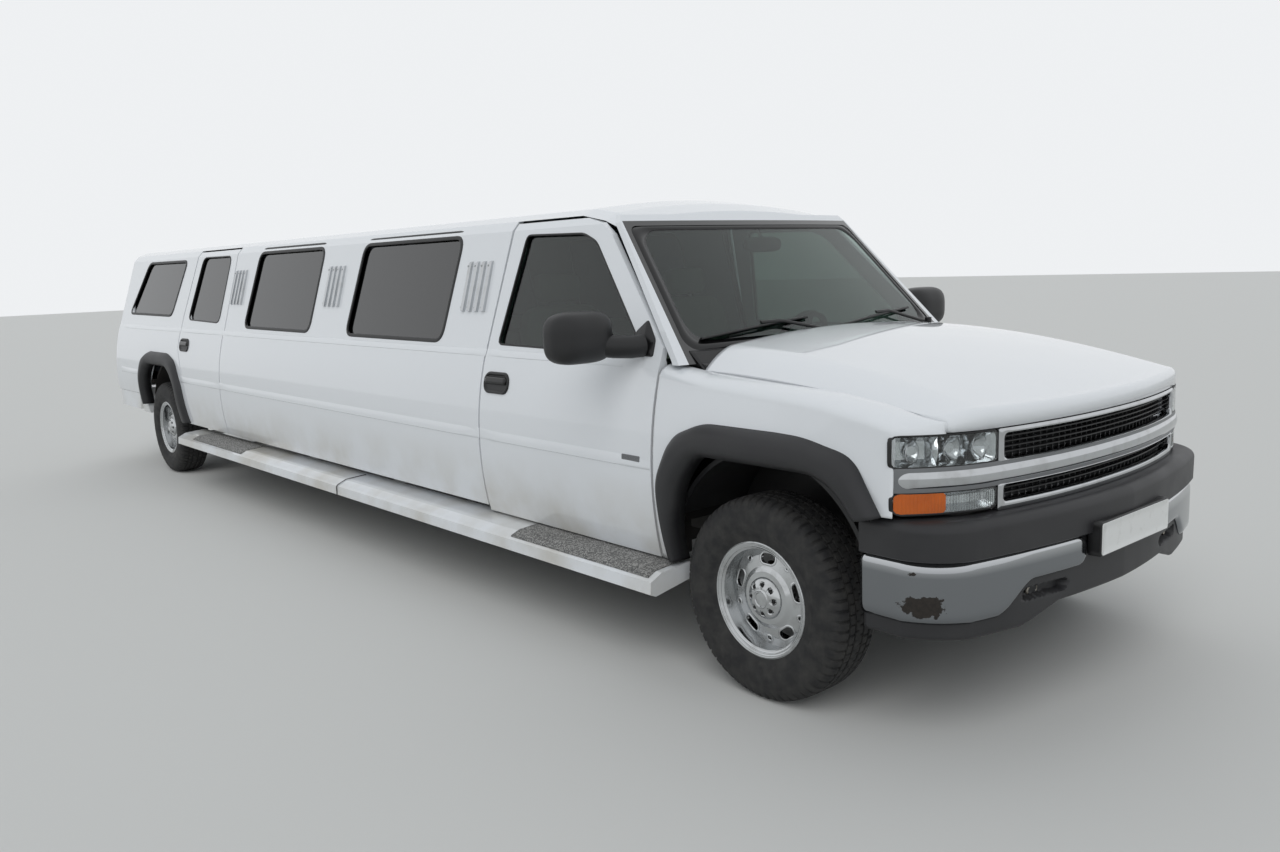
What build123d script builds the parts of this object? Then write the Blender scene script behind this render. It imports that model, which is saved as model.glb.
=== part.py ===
import os

from build123d import *

os.makedirs("parts", exist_ok=True)

# Frame: millimetres, X forward, Y to the vehicle's left, Z up from the ground, origin at mid length.

# Driving dimensions
LENGTH = 9126
BASE_WHEELBASE = 3302
STRETCH = 3556
WHEELBASE = BASE_WHEELBASE + STRETCH
FRONT_OVERHANG = 950
X_FRONT = LENGTH / 2 - FRONT_OVERHANG
X_REAR = X_FRONT - WHEELBASE
X_NOSE = LENGTH / 2
X_TAIL = -LENGTH / 2
TRACK = 1722
Y_WHEEL = TRACK / 2
REACH = 1400

# Body section: half widths with their heights
HALF_SILL, Z_SILL = 958, 450
HALF_WIDE, Z_WIDE = 1000, 800
HALF_SHOULDER, Z_SHOULDER = 940, 1215
HALF_BELT, Z_BELT = 925, 1250
HALF_GUTTER, Z_GUTTER = 768, 1812
HALF_SEAM, Z_SEAM = 730, 1857
HALF_ROOF, Z_ROOF_EDGE = 655, 1888
Z_ROOF = 1932
WALL_LOW = 65
WALL_HIGH = 28
ROOF_THICK = 40
GAP = 8
DOOR_GAP = 13
Z_DOOR_TOP = 1845

# Stations along the body, from the front axle back
X_DOOR = X_FRONT - 540
X_DOOR_REAR = X_FRONT - 1815
X_REAR_DOOR = X_FRONT - 5400
X_REAR_DOOR_REAR = X_FRONT - 6370
X_PILLAR_TOP = X_FRONT - 1757
TAIL_TOP = (X_TAIL + 160, 1900)
TAIL_BELT = (X_TAIL + 72, 1250)
TAIL_LOW = (X_TAIL + 66, 640)
X_TAIL_FRAME = X_TAIL + 230
Z_PANEL_LOW = 475

# Tyre 245/75R16 and its rim
TYRE_RADIUS = 387
TYRE_HALF = 122.5
BEAD_RADIUS = 203.2
RIM_RADIUS = 221
RIM_HALF = 99
RIM_BED = 86
SPINDLE_RADIUS = 32
RUNNING = 0.08
SPINDLE_END = 35
HUB_BACK = -8
LUG_CIRCLE = 165.1
Y_STEER = 790

# Floor and frame heights
Z_FLOOR, Z_FLOOR_TOP = 580, 615
Z_LOAD, Z_LOAD_TOP = 740, 775
RAIL_IN, RAIL_OUT = 400, 475
FLOOR_HALF = 835

# Side door hinges: a pin inside each door, held by an arm from the body
HINGE_BACK = 95
HINGE_HALF = 962
HINGE_HEIGHTS = (660, 900)
HINGE_PIN = 7
HINGE_BOSS = 13
ARM_HEIGHT = 36
POCKET_HEIGHT = 46


def outline(plane, points, radius=0):
    """A closed face on a plane from its corner points, all its corners rounded by one radius."""
    with BuildSketch(plane) as drawn:
        with BuildLine():
            Polyline(*points, close=True)
        make_face()
        if radius:
            fillet(drawn.vertices(), radius)
    return drawn.sketch


def side_view(points, radius=0):
    """An outline of X and Z, for a cut right across the vehicle."""
    return outline(Plane.XZ, points, radius)


def shifted(points, by=0, up=0):
    """The same corner points moved along X and Z."""
    return [(x + by, z + up) for x, z in points]


def from_axle(points, x_axle):
    """Corner points given from an axle, moved to the vehicle's frame."""
    return [(x_axle + x, z) for x, z in points]


def wall_section(side, x):
    """The section of one body side at a station: the outer skin up to the roof seam and the inner skin down."""
    with BuildSketch(Plane.YZ.offset(x)) as drawn:
        with BuildLine():
            ThreePointArc(
                (side * HALF_SILL, Z_SILL), (side * HALF_WIDE, Z_WIDE), (side * HALF_SHOULDER, Z_SHOULDER)
            )
            Polyline(
                (side * HALF_SHOULDER, Z_SHOULDER),
                (side * HALF_BELT, Z_BELT),
                (side * HALF_GUTTER, Z_GUTTER),
                (side * HALF_SEAM, Z_SEAM),
                (side * (HALF_SEAM - WALL_HIGH), Z_SEAM),
                (side * (HALF_GUTTER - WALL_HIGH), Z_GUTTER),
                (side * (HALF_BELT - WALL_HIGH), Z_BELT),
                (side * (HALF_SHOULDER - WALL_LOW), Z_SHOULDER - 40),
            )
            ThreePointArc(
                (side * (HALF_SHOULDER - WALL_LOW), Z_SHOULDER - 40),
                (side * (HALF_WIDE - WALL_LOW), Z_WIDE),
                (side * (HALF_SILL - WALL_LOW), Z_SILL),
            )
            Line((side * (HALF_SILL - WALL_LOW), Z_SILL), (side * HALF_SILL, Z_SILL))
        make_face()
    return drawn.sketch


def whole_section(x):
    """The whole outer section of the body at a station, closed across the bottom."""
    with BuildSketch(Plane.YZ.offset(x)) as drawn:
        with BuildLine():
            for side in (-1, 1):
                ThreePointArc(
                    (side * HALF_SILL, Z_SILL), (side * HALF_WIDE, Z_WIDE), (side * HALF_SHOULDER, Z_SHOULDER)
                )
                Polyline(
                    (side * HALF_SHOULDER, Z_SHOULDER),
                    (side * HALF_BELT, Z_BELT),
                    (side * HALF_GUTTER, Z_GUTTER),
                    (side * HALF_SEAM, Z_SEAM),
                    (side * HALF_ROOF, Z_ROOF_EDGE),
                )
                Polyline((side * HALF_SILL, Z_SILL), (side * HALF_SILL, 300))
            ThreePointArc((-HALF_ROOF, Z_ROOF_EDGE), (0, Z_ROOF), (HALF_ROOF, Z_ROOF_EDGE))
            Line((-HALF_SILL, 300), (HALF_SILL, 300))
        make_face()
    return drawn.sketch


# Outlines seen from the side
WINDOW_RADIUS = 60
WINDOW_A = from_axle([(-3380, 1270), (-2249, 1267), (-2202, 1806), (-3325, 1806)], X_FRONT)
WINDOW_B = from_axle([(-5020, 1278), (-3899, 1273), (-3868, 1808), (-4952, 1808)], X_FRONT)
QUARTER_GLASS = from_axle([(-7850, 1342), (-6660, 1335), (-6500, 1790), (-7530, 1794)], X_FRONT)
FRONT_DOOR_GLASS = from_axle(
    [(-1720, 1273), (-700, 1262), (-700, 1330), (-1087, 1738), (-1190, 1778), (-1631, 1788)], X_FRONT
)
REAR_DOOR_GLASS = from_axle([(-6235, 1315), (-5535, 1301), (-5515, 1800), (-6127, 1803)], X_FRONT)

FRONT_DOOR = [
    (X_DOOR, Z_SILL),
    (X_DOOR, 1300),
    (X_FRONT - 990, 1765),
    (X_FRONT - 1075, 1818),
    (X_FRONT - 1200, Z_DOOR_TOP),
    (X_PILLAR_TOP + DOOR_GAP, Z_DOOR_TOP),
    (X_DOOR_REAR + DOOR_GAP, Z_BELT),
    (X_DOOR_REAR + DOOR_GAP, Z_SILL),
]
X_REAR_DOOR_TOP = X_REAR_DOOR_REAR + 110
X_REAR_DOOR_LOW = X_REAR_DOOR_REAR + 170
REAR_DOOR_OPENING = [
    (X_REAR_DOOR + DOOR_GAP, 300),
    (X_REAR_DOOR + DOOR_GAP, Z_ROOF),
    (X_REAR_DOOR_TOP + 14, Z_ROOF),
    (X_REAR_DOOR_REAR, 1320),
    (X_REAR_DOOR_REAR, 1080),
    (X_REAR_DOOR_REAR + 100, 900),
    (X_REAR_DOOR_LOW, 520),
    (X_REAR_DOOR_LOW, 300),
]
REAR_DOOR = [
    (X_REAR_DOOR, Z_PANEL_LOW),
    (X_REAR_DOOR, Z_DOOR_TOP),
    (X_REAR_DOOR_TOP + DOOR_GAP, Z_DOOR_TOP),
    (X_REAR_DOOR_REAR + DOOR_GAP, 1322),
    (X_REAR_DOOR_REAR + DOOR_GAP, 1083),
    (X_REAR_DOOR_REAR + 100 + DOOR_GAP, 903),
    (X_REAR_DOOR_LOW + DOOR_GAP, 520),
    (X_REAR_DOOR_LOW + DOOR_GAP, Z_PANEL_LOW),
]
FRONT_ARCH = from_axle([(-440, 200), (-440, 760), (-300, 940), (290, 940), (440, 850), (470, 200)], X_FRONT)
REAR_ARCH = from_axle([(-455, 200), (-455, 740), (-300, 940), (240, 940), (450, 800), (520, 200)], X_REAR)
FRONT_FLARE = from_axle(
    [(-452, 455), (-500, 800), (-400, 985), (-216, 1032), (300, 1026), (465, 985), (545, 840), (470, 800), (300, 455)],
    X_FRONT,
)
REAR_FLARE = from_axle(
    [(-600, 560), (-560, 850), (-440, 1010), (-150, 1050), (300, 1030), (480, 960), (600, 760), (650, 500), (0, 455)],
    X_REAR,
)

# Windshield: a bowed sheet that leans back along one slope
SHIELD_LOW = (X_FRONT - 470, 1270)
SHIELD_HIGH = (X_FRONT - 970, 1800)
SHIELD_RUN = SHIELD_HIGH[0] - SHIELD_LOW[0]
SHIELD_RISE = SHIELD_HIGH[1] - SHIELD_LOW[1]
SHIELD_LENGTH = (SHIELD_RUN**2 + SHIELD_RISE**2) ** 0.5
SHIELD_BOW = 70
SHIELD_PLANE = Plane(
    origin=(SHIELD_LOW[0], 0, SHIELD_LOW[1]), x_dir=(0, 1, 0), z_dir=(SHIELD_RUN, 0, SHIELD_RISE)
)
SHIELD_GLASS = [(-850, 1285), (850, 1285), (738, 1796), (-738, 1796)]
GLASS = 6
FRAME_DEPTH = 25
HALF_BAND = 960


HOOD_HINGE_X, HOOD_HINGE_Z = X_FRONT - 385, 1283
HOOD_EAR = 700
HOOD_PIN = 5


def shield_band(front, back):
    """The bowed band between two depths behind the windshield's outer face."""
    with BuildSketch(SHIELD_PLANE.offset(-80)) as drawn:
        with BuildLine():
            ThreePointArc((-HALF_BAND, front), (0, front - SHIELD_BOW), (HALF_BAND, front))
            Line((HALF_BAND, front), (HALF_BAND, back))
            ThreePointArc((HALF_BAND, back), (0, back - SHIELD_BOW), (-HALF_BAND, back))
            Line((-HALF_BAND, back), (-HALF_BAND, front))
        make_face()
    return drawn.sketch


def ahead_of_shield():
    """The space ahead of the windshield frame's inner face."""
    with BuildSketch(SHIELD_PLANE.offset(-200)) as drawn:
        with BuildLine():
            ThreePointArc((-HALF_BAND, FRAME_DEPTH), (0, FRAME_DEPTH - SHIELD_BOW), (HALF_BAND, FRAME_DEPTH))
            Polyline((HALF_BAND, FRAME_DEPTH), (HALF_BAND, -900), (-HALF_BAND, -900), (-HALF_BAND, FRAME_DEPTH))
        make_face()
    return drawn.sketch


# Front end in plan: the curve of the grille and lamps, and the bumper's own
FRONT_CORNER = (X_FRONT + 600, 975)
FRONT_TURN = (X_FRONT + 790, 880)
FRONT_EDGE = (X_FRONT + 865, 700)
FRONT_MID = (X_FRONT + 896, 350)
FRONT_TIP = (X_FRONT + 905, 0)


def front_plan(z, depth, half_inner=0, half_outer=975):
    """The band behind the front end's plan curve, kept between two half widths on each side."""
    with BuildSketch(Plane.XY.offset(z)) as drawn:
        for side in (-1, 1):
            with BuildLine():
                ThreePointArc(
                    (FRONT_CORNER[0], side * FRONT_CORNER[1]),
                    (FRONT_TURN[0], side * FRONT_TURN[1]),
                    (FRONT_EDGE[0], side * FRONT_EDGE[1]),
                )
                ThreePointArc(
                    (FRONT_EDGE[0], side * FRONT_EDGE[1]),
                    (FRONT_MID[0], side * FRONT_MID[1]),
                    FRONT_TIP,
                )
                Line(FRONT_TIP, (FRONT_TIP[0] - depth, 0))
                ThreePointArc(
                    (FRONT_TIP[0] - depth, 0),
                    (FRONT_MID[0] - depth, side * FRONT_MID[1]),
                    (FRONT_EDGE[0] - depth, side * (FRONT_EDGE[1] - depth * 0.1)),
                )
                ThreePointArc(
                    (FRONT_EDGE[0] - depth, side * (FRONT_EDGE[1] - depth * 0.1)),
                    (FRONT_TURN[0] - depth * 0.8, side * (FRONT_TURN[1] - depth * 0.6)),
                    (FRONT_CORNER[0] - depth * 0.4, side * (FRONT_CORNER[1] - depth)),
                )
                Line(
                    (FRONT_CORNER[0] - depth * 0.4, side * (FRONT_CORNER[1] - depth)),
                    (FRONT_CORNER[0], side * FRONT_CORNER[1]),
                )
            make_face()
        if half_inner:
            Rectangle(4 * REACH * 4, 2 * half_inner, mode=Mode.SUBTRACT)
        if half_outer < FRONT_CORNER[1]:
            with Locations((FRONT_TIP[0] - 200, 0)):
                Rectangle(900, 2 * half_outer, mode=Mode.INTERSECT)
    return drawn.sketch


def bumper_plan(z, inset, depth):
    """The front bumper's band in plan: straight ends, rounded corners and a bowed middle."""
    with BuildSketch(Plane.XY.offset(z)) as drawn:
        with BuildLine():
            for side in (-1, 1):
                for off in (inset, inset + depth):
                    end_y = side * (992 - off)
                    Line((X_FRONT + 470, end_y), (X_FRONT + 700, end_y))
                    ThreePointArc(
                        (X_FRONT + 700, end_y),
                        (X_FRONT + 822 - off, side * (915 - off)),
                        (X_FRONT + 868 - off, side * (780 - off * 0.3)),
                    )
                    ThreePointArc(
                        (X_FRONT + 868 - off, side * (780 - off * 0.3)),
                        (X_FRONT + 929 - off, side * 400),
                        (X_NOSE - off, 0),
                    )
                Line(
                    (X_FRONT + 470, side * (992 - inset)),
                    (X_FRONT + 470, side * (992 - inset - depth)),
                )
        make_face()
    return drawn.sketch


# Bumpers
BUMPER_LOW, BUMPER_TOP, PAD_TOP = 448, 664, 794
with BuildPart() as bumper_pad:
    extrude(bumper_plan(BUMPER_TOP, 0, 110), amount=PAD_TOP - BUMPER_TOP)

with BuildPart() as front_bumper:
    extrude(bumper_plan(BUMPER_LOW, 8, 60), amount=BUMPER_TOP - BUMPER_LOW)

with BuildPart() as air_dam:
    extrude(bumper_plan(392, 44, 24), amount=BUMPER_LOW - 392)

X_BUMPER_WRAP = X_REAR - 640
REAR_BUMPER_Z = (500, 642)
with BuildPart() as rear_bumper:
    with BuildSketch(Plane.XY.offset(REAR_BUMPER_Z[0])):
        with BuildLine():
            Polyline(
                (X_BUMPER_WRAP, -990), (X_TAIL, -990), (X_TAIL, 990), (X_BUMPER_WRAP, 990),
                (X_BUMPER_WRAP, 950), (TAIL_LOW[0], 950), (TAIL_LOW[0], -950), (X_BUMPER_WRAP, -950),
                close=True,
            )
        make_face()
    extrude(amount=REAR_BUMPER_Z[1] - REAR_BUMPER_Z[0])
    corners = rear_bumper.edges().filter_by(Axis.Z).group_by(Axis.X)[0]
    fillet(corners, 130)

# Chassis frame: two rails that rise over both axles, and their crossmembers
X_RAIL_FRONT = X_NOSE - 145
RAIL_SIDE = [
    (X_RAIL_FRONT, 540),
    (X_FRONT - 300, 540),
    (X_FRONT - 540, 430),
    (X_REAR + 740, 430),
    (X_REAR + 540, 560),
    (X_TAIL_FRAME, 560),
    (X_TAIL_FRAME, 700),
    (X_REAR + 480, 700),
    (X_REAR + 650, 578),
    (X_FRONT - 510, 578),
    (X_FRONT - 330, 680),
    (X_RAIL_FRONT, 680),
]
CROSS_X = (1300, 300, -700, -1800)
GEARBOX_LOW = 397
BOARD_BRACKETS = (2900, 1800, 600, -600, -1500, -2400)
SPRING_END = 655
TUBE_RADIUS = 48
Y_SPRING = 537
SPRING_WIDTH = 64
SPRING_TOP = 560
BEAM_INNER = 380
BEAM_TOP = 400
BRACKET_IN = 345
with BuildPart() as chassis_frame:
    extrude(outline(Plane.XZ.offset(-RAIL_OUT), RAIL_SIDE), amount=RAIL_OUT - RAIL_IN)
    for end in (-1, 1):
        with Locations((X_REAR + end * SPRING_END, (RAIL_OUT + Y_SPRING + 20) / 2, SPRING_TOP + 10)):
            Box(34, Y_SPRING + 20 - RAIL_OUT + 12, 20)
    with Locations((X_FRONT, (BRACKET_IN + RAIL_OUT) / 2, (BEAM_TOP + 560) / 2)):
        Box(140, RAIL_OUT - BRACKET_IN, 560 - BEAM_TOP)
    with Locations((X_FRONT + 150, 352, 600)):
        Box(90, 104, 70)
    with Locations((X_RAIL_FRONT + 28, (RAIL_IN + RAIL_OUT) / 2, 600)):
        Box(60, 66, 96)
    mirror(about=Plane.XZ)
    for x in CROSS_X:
        with Locations((x, 0, 555)):
            Box(110, 2 * RAIL_IN + 4, 44)
    for x, z in ((X_NOSE - 190, 610), (X_TAIL_FRAME + 60, 630), (X_REAR + 380, 650)):
        with Locations((x, 0, z)):
            Box(90, 2 * RAIL_IN + 4, 90)
    GEARBOX_CRADLE = [
        (-RAIL_OUT, 430), (-RAIL_OUT, 364), (RAIL_OUT, 364), (RAIL_OUT, 430),
        (RAIL_IN, 430), (RAIL_IN, GEARBOX_LOW), (-RAIL_IN, GEARBOX_LOW), (-RAIL_IN, 430),
    ]
    extrude(outline(Plane.YZ.offset(X_FRONT - 960), GEARBOX_CRADLE), amount=90)
    add(front_bumper.part, mode=Mode.SUBTRACT)

# Engine as one plain block, gearbox and shaft
with BuildPart() as engine_block:
    with Locations((X_FRONT - 30, 0, 745)):
        Box(780, 600, 590)
    chamfer(engine_block.edges().filter_by(Axis.X), 90)

SHAFT_Z = 465
PINION_X = X_REAR + 215
with BuildPart() as driveline:
    with Locations((X_FRONT - 820, 0, GEARBOX_LOW + 85)):
        Box(800, 300, 170)
    chamfer(driveline.edges().filter_by(Axis.X), 40)
    with BuildSketch(Plane.YZ.offset(PINION_X)):
        with Locations((0, SHAFT_Z)):
            Circle(45)
    extrude(amount=X_FRONT - 1220 - PINION_X)

with BuildPart() as exhaust:
    with BuildSketch(Plane.YZ.offset(X_TAIL + 260)):
        with Locations((-655, 505)):
            Circle(32)
    extrude(amount=X_FRONT - 900 - X_TAIL - 260)
    with BuildSketch(Plane.YZ.offset(-300)):
        with Locations((-655, 495)):
            Ellipse(78, 80)
    extrude(amount=700)
    for x in (2300, 900, -900, -2300):
        with Locations((x, -655, (505 + Z_FLOOR) / 2)):
            Box(24, 18, Z_FLOOR - 505)

with BuildPart() as fuel_tank:
    with Locations((X_REAR - 650, 0, 500)):
        Box(560, 2 * RAIL_IN, 240)
    chamfer(fuel_tank.edges().filter_by(Axis.X).group_by(Axis.Z)[0], 45)

# Front axle: two crossed beams, each with a bored boss for its kingpin
BOSS_RADIUS = 34
BOSS_LOW, BOSS_HIGH = 302, 472
PIN_RADIUS = 16
BEAM = 52
with BuildPart() as front_axle:
    for side, x_near in ((-1, X_FRONT - 60), (1, X_FRONT + 8)):
        beam = [
            (side * (Y_STEER - 10), 345),
            (side * (Y_STEER - 10), 430),
            (side * 560, BEAM_TOP),
            (-side * BEAM_INNER, BEAM_TOP),
            (-side * BEAM_INNER, 320),
            (side * 560, 310),
        ]
        extrude(outline(Plane.YZ.offset(x_near), beam), amount=BEAM)
        with Locations((X_FRONT, side * Y_STEER, (BOSS_LOW + BOSS_HIGH) / 2)):
            Cylinder(BOSS_RADIUS, BOSS_HIGH - BOSS_LOW)
    for side in (-1, 1):
        with Locations((X_FRONT, side * Y_STEER, (BOSS_LOW + BOSS_HIGH) / 2)):
            Cylinder(PIN_RADIUS + RUNNING, 300, mode=Mode.SUBTRACT)


def knuckle(side):
    """A steering knuckle: two ears and a kingpin round the beam's boss, an upright and the wheel's spindle."""
    with BuildPart() as made:
        for z in (BOSS_LOW - 18, BOSS_HIGH + 18):
            with Locations((X_FRONT, side * (Y_STEER + 13), z)):
                Box(64, 90, 24)
        with Locations((X_FRONT, side * (Y_STEER + 49), TYRE_RADIUS)):
            Box(110, 18, BOSS_HIGH - BOSS_LOW + 60)
        with Locations((X_FRONT, side * Y_STEER, TYRE_RADIUS)):
            Cylinder(PIN_RADIUS, BOSS_HIGH - BOSS_LOW + 50)
        with Locations((X_FRONT, side * (Y_WHEEL + SPINDLE_END - 32), TYRE_RADIUS)):
            Cylinder(SPINDLE_RADIUS, 64, rotation=(90, 0, 0))
    return made


with BuildPart() as knuckle_right:
    add(knuckle(-1).part)
with BuildPart() as knuckle_left:
    add(knuckle(1).part)

# Rear axle: tube, differential housing and spring seats
with BuildPart() as rear_axle:
    with Locations((X_REAR, 0, TYRE_RADIUS)):
        Cylinder(TUBE_RADIUS, 2 * (Y_WHEEL - 13), rotation=(90, 0, 0))
        Cylinder(SPINDLE_RADIUS, 2 * (Y_WHEEL + SPINDLE_END), rotation=(90, 0, 0))
        Sphere(165)
    with BuildSketch(Plane.YZ.offset(X_REAR + 90)):
        with Locations((0, SHAFT_Z - 25)):
            Circle(60)
    extrude(amount=PINION_X - X_REAR - 90)
    for side in (-1, 1):
        with Locations((X_REAR, side * Y_SPRING, TYRE_RADIUS + 44)):
            Box(150, 90, 28)

with BuildPart() as leaf_springs:
    with BuildSketch(Plane.XZ.offset(-Y_SPRING - SPRING_WIDTH / 2)):
        with BuildLine():
            ThreePointArc((X_REAR - 640, 536), (X_REAR, 445), (X_REAR + 640, 536))
            Polyline((X_REAR + 640, 536), (X_REAR + 675, 536), (X_REAR + 675, SPRING_TOP), (X_REAR + 640, SPRING_TOP))
            ThreePointArc((X_REAR + 640, SPRING_TOP), (X_REAR, 500), (X_REAR - 640, SPRING_TOP))
            Polyline((X_REAR - 640, SPRING_TOP), (X_REAR - 675, SPRING_TOP), (X_REAR - 675, 536), (X_REAR - 640, 536))
        make_face()
    extrude(amount=SPRING_WIDTH)
    mirror(about=Plane.XZ)

# Wheels, made at the origin facing the right-hand side
with BuildPart() as tyre:
    with BuildSketch(Plane.YZ):
        with BuildLine():
            for out in (-1, 1):
                Polyline((out * RIM_BED, BEAD_RADIUS), (out * (RIM_BED + 4), RIM_RADIUS))
                ThreePointArc((out * (RIM_BED + 4), RIM_RADIUS), (out * TYRE_HALF, 305), (out * 98, 376))
                Line((out * 98, 376), (out * 60, TYRE_RADIUS))
            Line((-60, TYRE_RADIUS), (60, TYRE_RADIUS))
            Line((-RIM_BED, BEAD_RADIUS), (RIM_BED, BEAD_RADIUS))
        make_face()
    revolve(axis=Axis.Y)

RIM_BARREL = [
    (-RIM_HALF, RIM_RADIUS),
    (-RIM_BED - 4, RIM_RADIUS),
    (-RIM_BED, BEAD_RADIUS),
    (RIM_BED, BEAD_RADIUS),
    (RIM_BED + 4, RIM_RADIUS),
    (RIM_HALF, RIM_RADIUS),
    (RIM_HALF, 210),
    (88, 193),
    (-88, 193),
    (-RIM_HALF, 210),
]
RIM_DISC = [
    (-HUB_BACK, SPINDLE_RADIUS + RUNNING),
    (-SPINDLE_END - 1, SPINDLE_RADIUS + RUNNING),
    (-SPINDLE_END - 1, 0),
    (-86, 0),
    (-86, 46),
    (-66, 62),
    (-62, 100),
    (-52, 118),
    (-44, 160),
    (-30, 195),
    (-14, 195),
    (-28, 160),
    (-36, 118),
    (-34, 96),
    (-HUB_BACK, 76),
]
with BuildPart() as rim:
    for profile in (RIM_BARREL, RIM_DISC):
        revolve(outline(Plane.YZ, profile), axis=Axis.Y)
    with BuildSketch(Plane.XZ):
        with PolarLocations(148, 5, start_angle=90):
            SlotOverall(76, 44, rotation=90)
        with PolarLocations(160, 5, start_angle=126):
            Circle(12)
    extrude(amount=90, mode=Mode.SUBTRACT)

WHEEL_PLACES = (
    ("front_right", X_FRONT, -1),
    ("front_left", X_FRONT, 1),
    ("rear_right", X_REAR, -1),
    ("rear_left", X_REAR, 1),
)


def placed(piece, x, side):
    """A wheel piece moved to its axle, turned about so that its outer face looks outwards."""
    turn = Rotation(0, 0, 0) if side < 0 else Rotation(0, 0, 180)
    return Location((x, side * Y_WHEEL, TYRE_RADIUS)) * turn * piece.part


# Floor, firewall, sills and wheel houses
HOUSE_RADIUS = 520
Z_HOUSE = 430
Z_COWL = 1202
HOUSE_IN, HOUSE_OUT = 695, 905
def hinge_arms(x_pin, side, x_pillar):
    """The body's hinge arms for one side door: bored bosses round the pins, on legs that reach in and forward."""
    with BuildPart() as made:
        for z in HINGE_HEIGHTS:
            with Locations((x_pin, side * HINGE_HALF, z)):
                Cylinder(HINGE_BOSS, ARM_HEIGHT)
            with Locations((x_pin, side * (HINGE_HALF + FLOOR_HALF - 20) / 2, z)):
                Box(2 * HINGE_BOSS - 2, HINGE_HALF - FLOOR_HALF + 20, ARM_HEIGHT)
            with Locations(((x_pin + x_pillar) / 2, side * (FLOOR_HALF - 10), z)):
                Box(x_pillar - x_pin + 2 * HINGE_BOSS - 2, 20, ARM_HEIGHT)
            with Locations((x_pin, side * HINGE_HALF, z)):
                Cylinder(HINGE_PIN + RUNNING, ARM_HEIGHT, mode=Mode.SUBTRACT)
    return made.part


with BuildPart() as floor_pan:
    FLOOR_SIDE = [
        (X_DOOR + 20, Z_FLOOR),
        (X_REAR + 660, Z_FLOOR),
        (X_REAR + 560, Z_LOAD),
        (TAIL_LOW[0] + 60, Z_LOAD),
        (TAIL_LOW[0] + 60, Z_LOAD_TOP),
        (X_REAR + 540, Z_LOAD_TOP),
        (X_REAR + 640, Z_FLOOR_TOP),
        (X_DOOR - 20, Z_FLOOR_TOP),
        (X_DOOR - 20, Z_COWL),
        (X_DOOR + 20, Z_COWL),
    ]
    extrude(side_view(FLOOR_SIDE), amount=FLOOR_HALF, both=True)
    with Locations(((X_REAR_DOOR + X_DOOR_REAR) / 2, 0, (Z_FLOOR + Z_FLOOR_TOP) / 2)):
        Box(X_DOOR_REAR - X_REAR_DOOR - 120, 1890, Z_FLOOR_TOP - Z_FLOOR)
    with Locations(((X_TAIL_FRAME + X_REAR + 500) / 2, 0, (Z_LOAD + Z_LOAD_TOP) / 2)):
        Box(X_REAR + 500 - X_TAIL_FRAME, 1890, Z_LOAD_TOP - Z_LOAD)
    for side in (-1, 1):
        with Locations(((X_DOOR + X_REAR + 640) / 2, side * (FLOOR_HALF - 35), 505)):
            Box(X_DOOR - X_REAR - 680, 70, 150)
        with BuildSketch(Plane.XZ.offset(-side * HOUSE_IN)):
            with Locations((X_REAR, Z_HOUSE)):
                Circle(HOUSE_RADIUS)
        extrude(amount=-side * (HOUSE_OUT - HOUSE_IN))
        with BuildSketch(Plane.XZ.offset(-side * (HOUSE_IN + 15))):
            with Locations((X_REAR, Z_HOUSE)):
                Circle(HOUSE_RADIUS - 20)
        extrude(amount=-side * 300, mode=Mode.SUBTRACT)
        with Locations((X_REAR, side * (HOUSE_IN + 150), 190)):
            Box(1100, 310, 600, mode=Mode.SUBTRACT)
        extrude(wall_section(side, X_TAIL), amount=X_DOOR_REAR - X_TAIL, mode=Mode.SUBTRACT)
        with Locations(((X_TAIL + X_TAIL_FRAME) / 2, side * 823, Z_LOAD)):
            Box(X_TAIL_FRAME - X_TAIL, 100, 90, mode=Mode.SUBTRACT)
        add(hinge_arms(X_DOOR - HINGE_BACK, side, X_DOOR - 20))

with BuildPart() as inner_fenders:
    with BuildSketch(Plane.XZ.offset(-545)):
        with Locations((X_FRONT + 5, 450)):
            Circle(500)
            Circle(482, mode=Mode.SUBTRACT)
    extrude(amount=-380)
    with Locations((X_FRONT - 10, 552, 720)):
        Box(1020, 14, 300)
    with Locations((X_FRONT, 740, 240)):
        Box(1100, 420, 800, mode=Mode.SUBTRACT)
    with Locations((X_FRONT - 570, 552, 720)):
        Box(100, 60, 400, mode=Mode.SUBTRACT)
    extrude(wall_section(1, X_FRONT - 600), amount=1200, mode=Mode.SUBTRACT)
    mirror(about=Plane.XZ)

# Body sides with their windows, door openings and wheel arches cut
BODY_SIDE = [
    (X_DOOR_REAR, Z_PANEL_LOW),
    (X_DOOR_REAR, Z_BELT),
    (X_PILLAR_TOP + 2, Z_ROOF),
    (X_TAIL_FRAME, Z_ROOF),
    (X_TAIL_FRAME, REAR_BUMPER_Z[1] + 3),
    (X_BUMPER_WRAP, REAR_BUMPER_Z[1] + 3),
    (X_BUMPER_WRAP, Z_PANEL_LOW),
]
with BuildPart() as body_sides:
    extrude(wall_section(1, X_TAIL), amount=X_FRONT - 1700 - X_TAIL)
    extrude(side_view(BODY_SIDE), amount=REACH, both=True, mode=Mode.INTERSECT)
    for window in (WINDOW_A, WINDOW_B, QUARTER_GLASS):
        extrude(side_view(window, WINDOW_RADIUS), amount=REACH, both=True, mode=Mode.SUBTRACT)
    extrude(side_view(REAR_DOOR_OPENING), amount=REACH, both=True, mode=Mode.SUBTRACT)
    extrude(side_view(REAR_ARCH), amount=REACH, both=True, mode=Mode.SUBTRACT)
    mirror(about=Plane.XZ)

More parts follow.
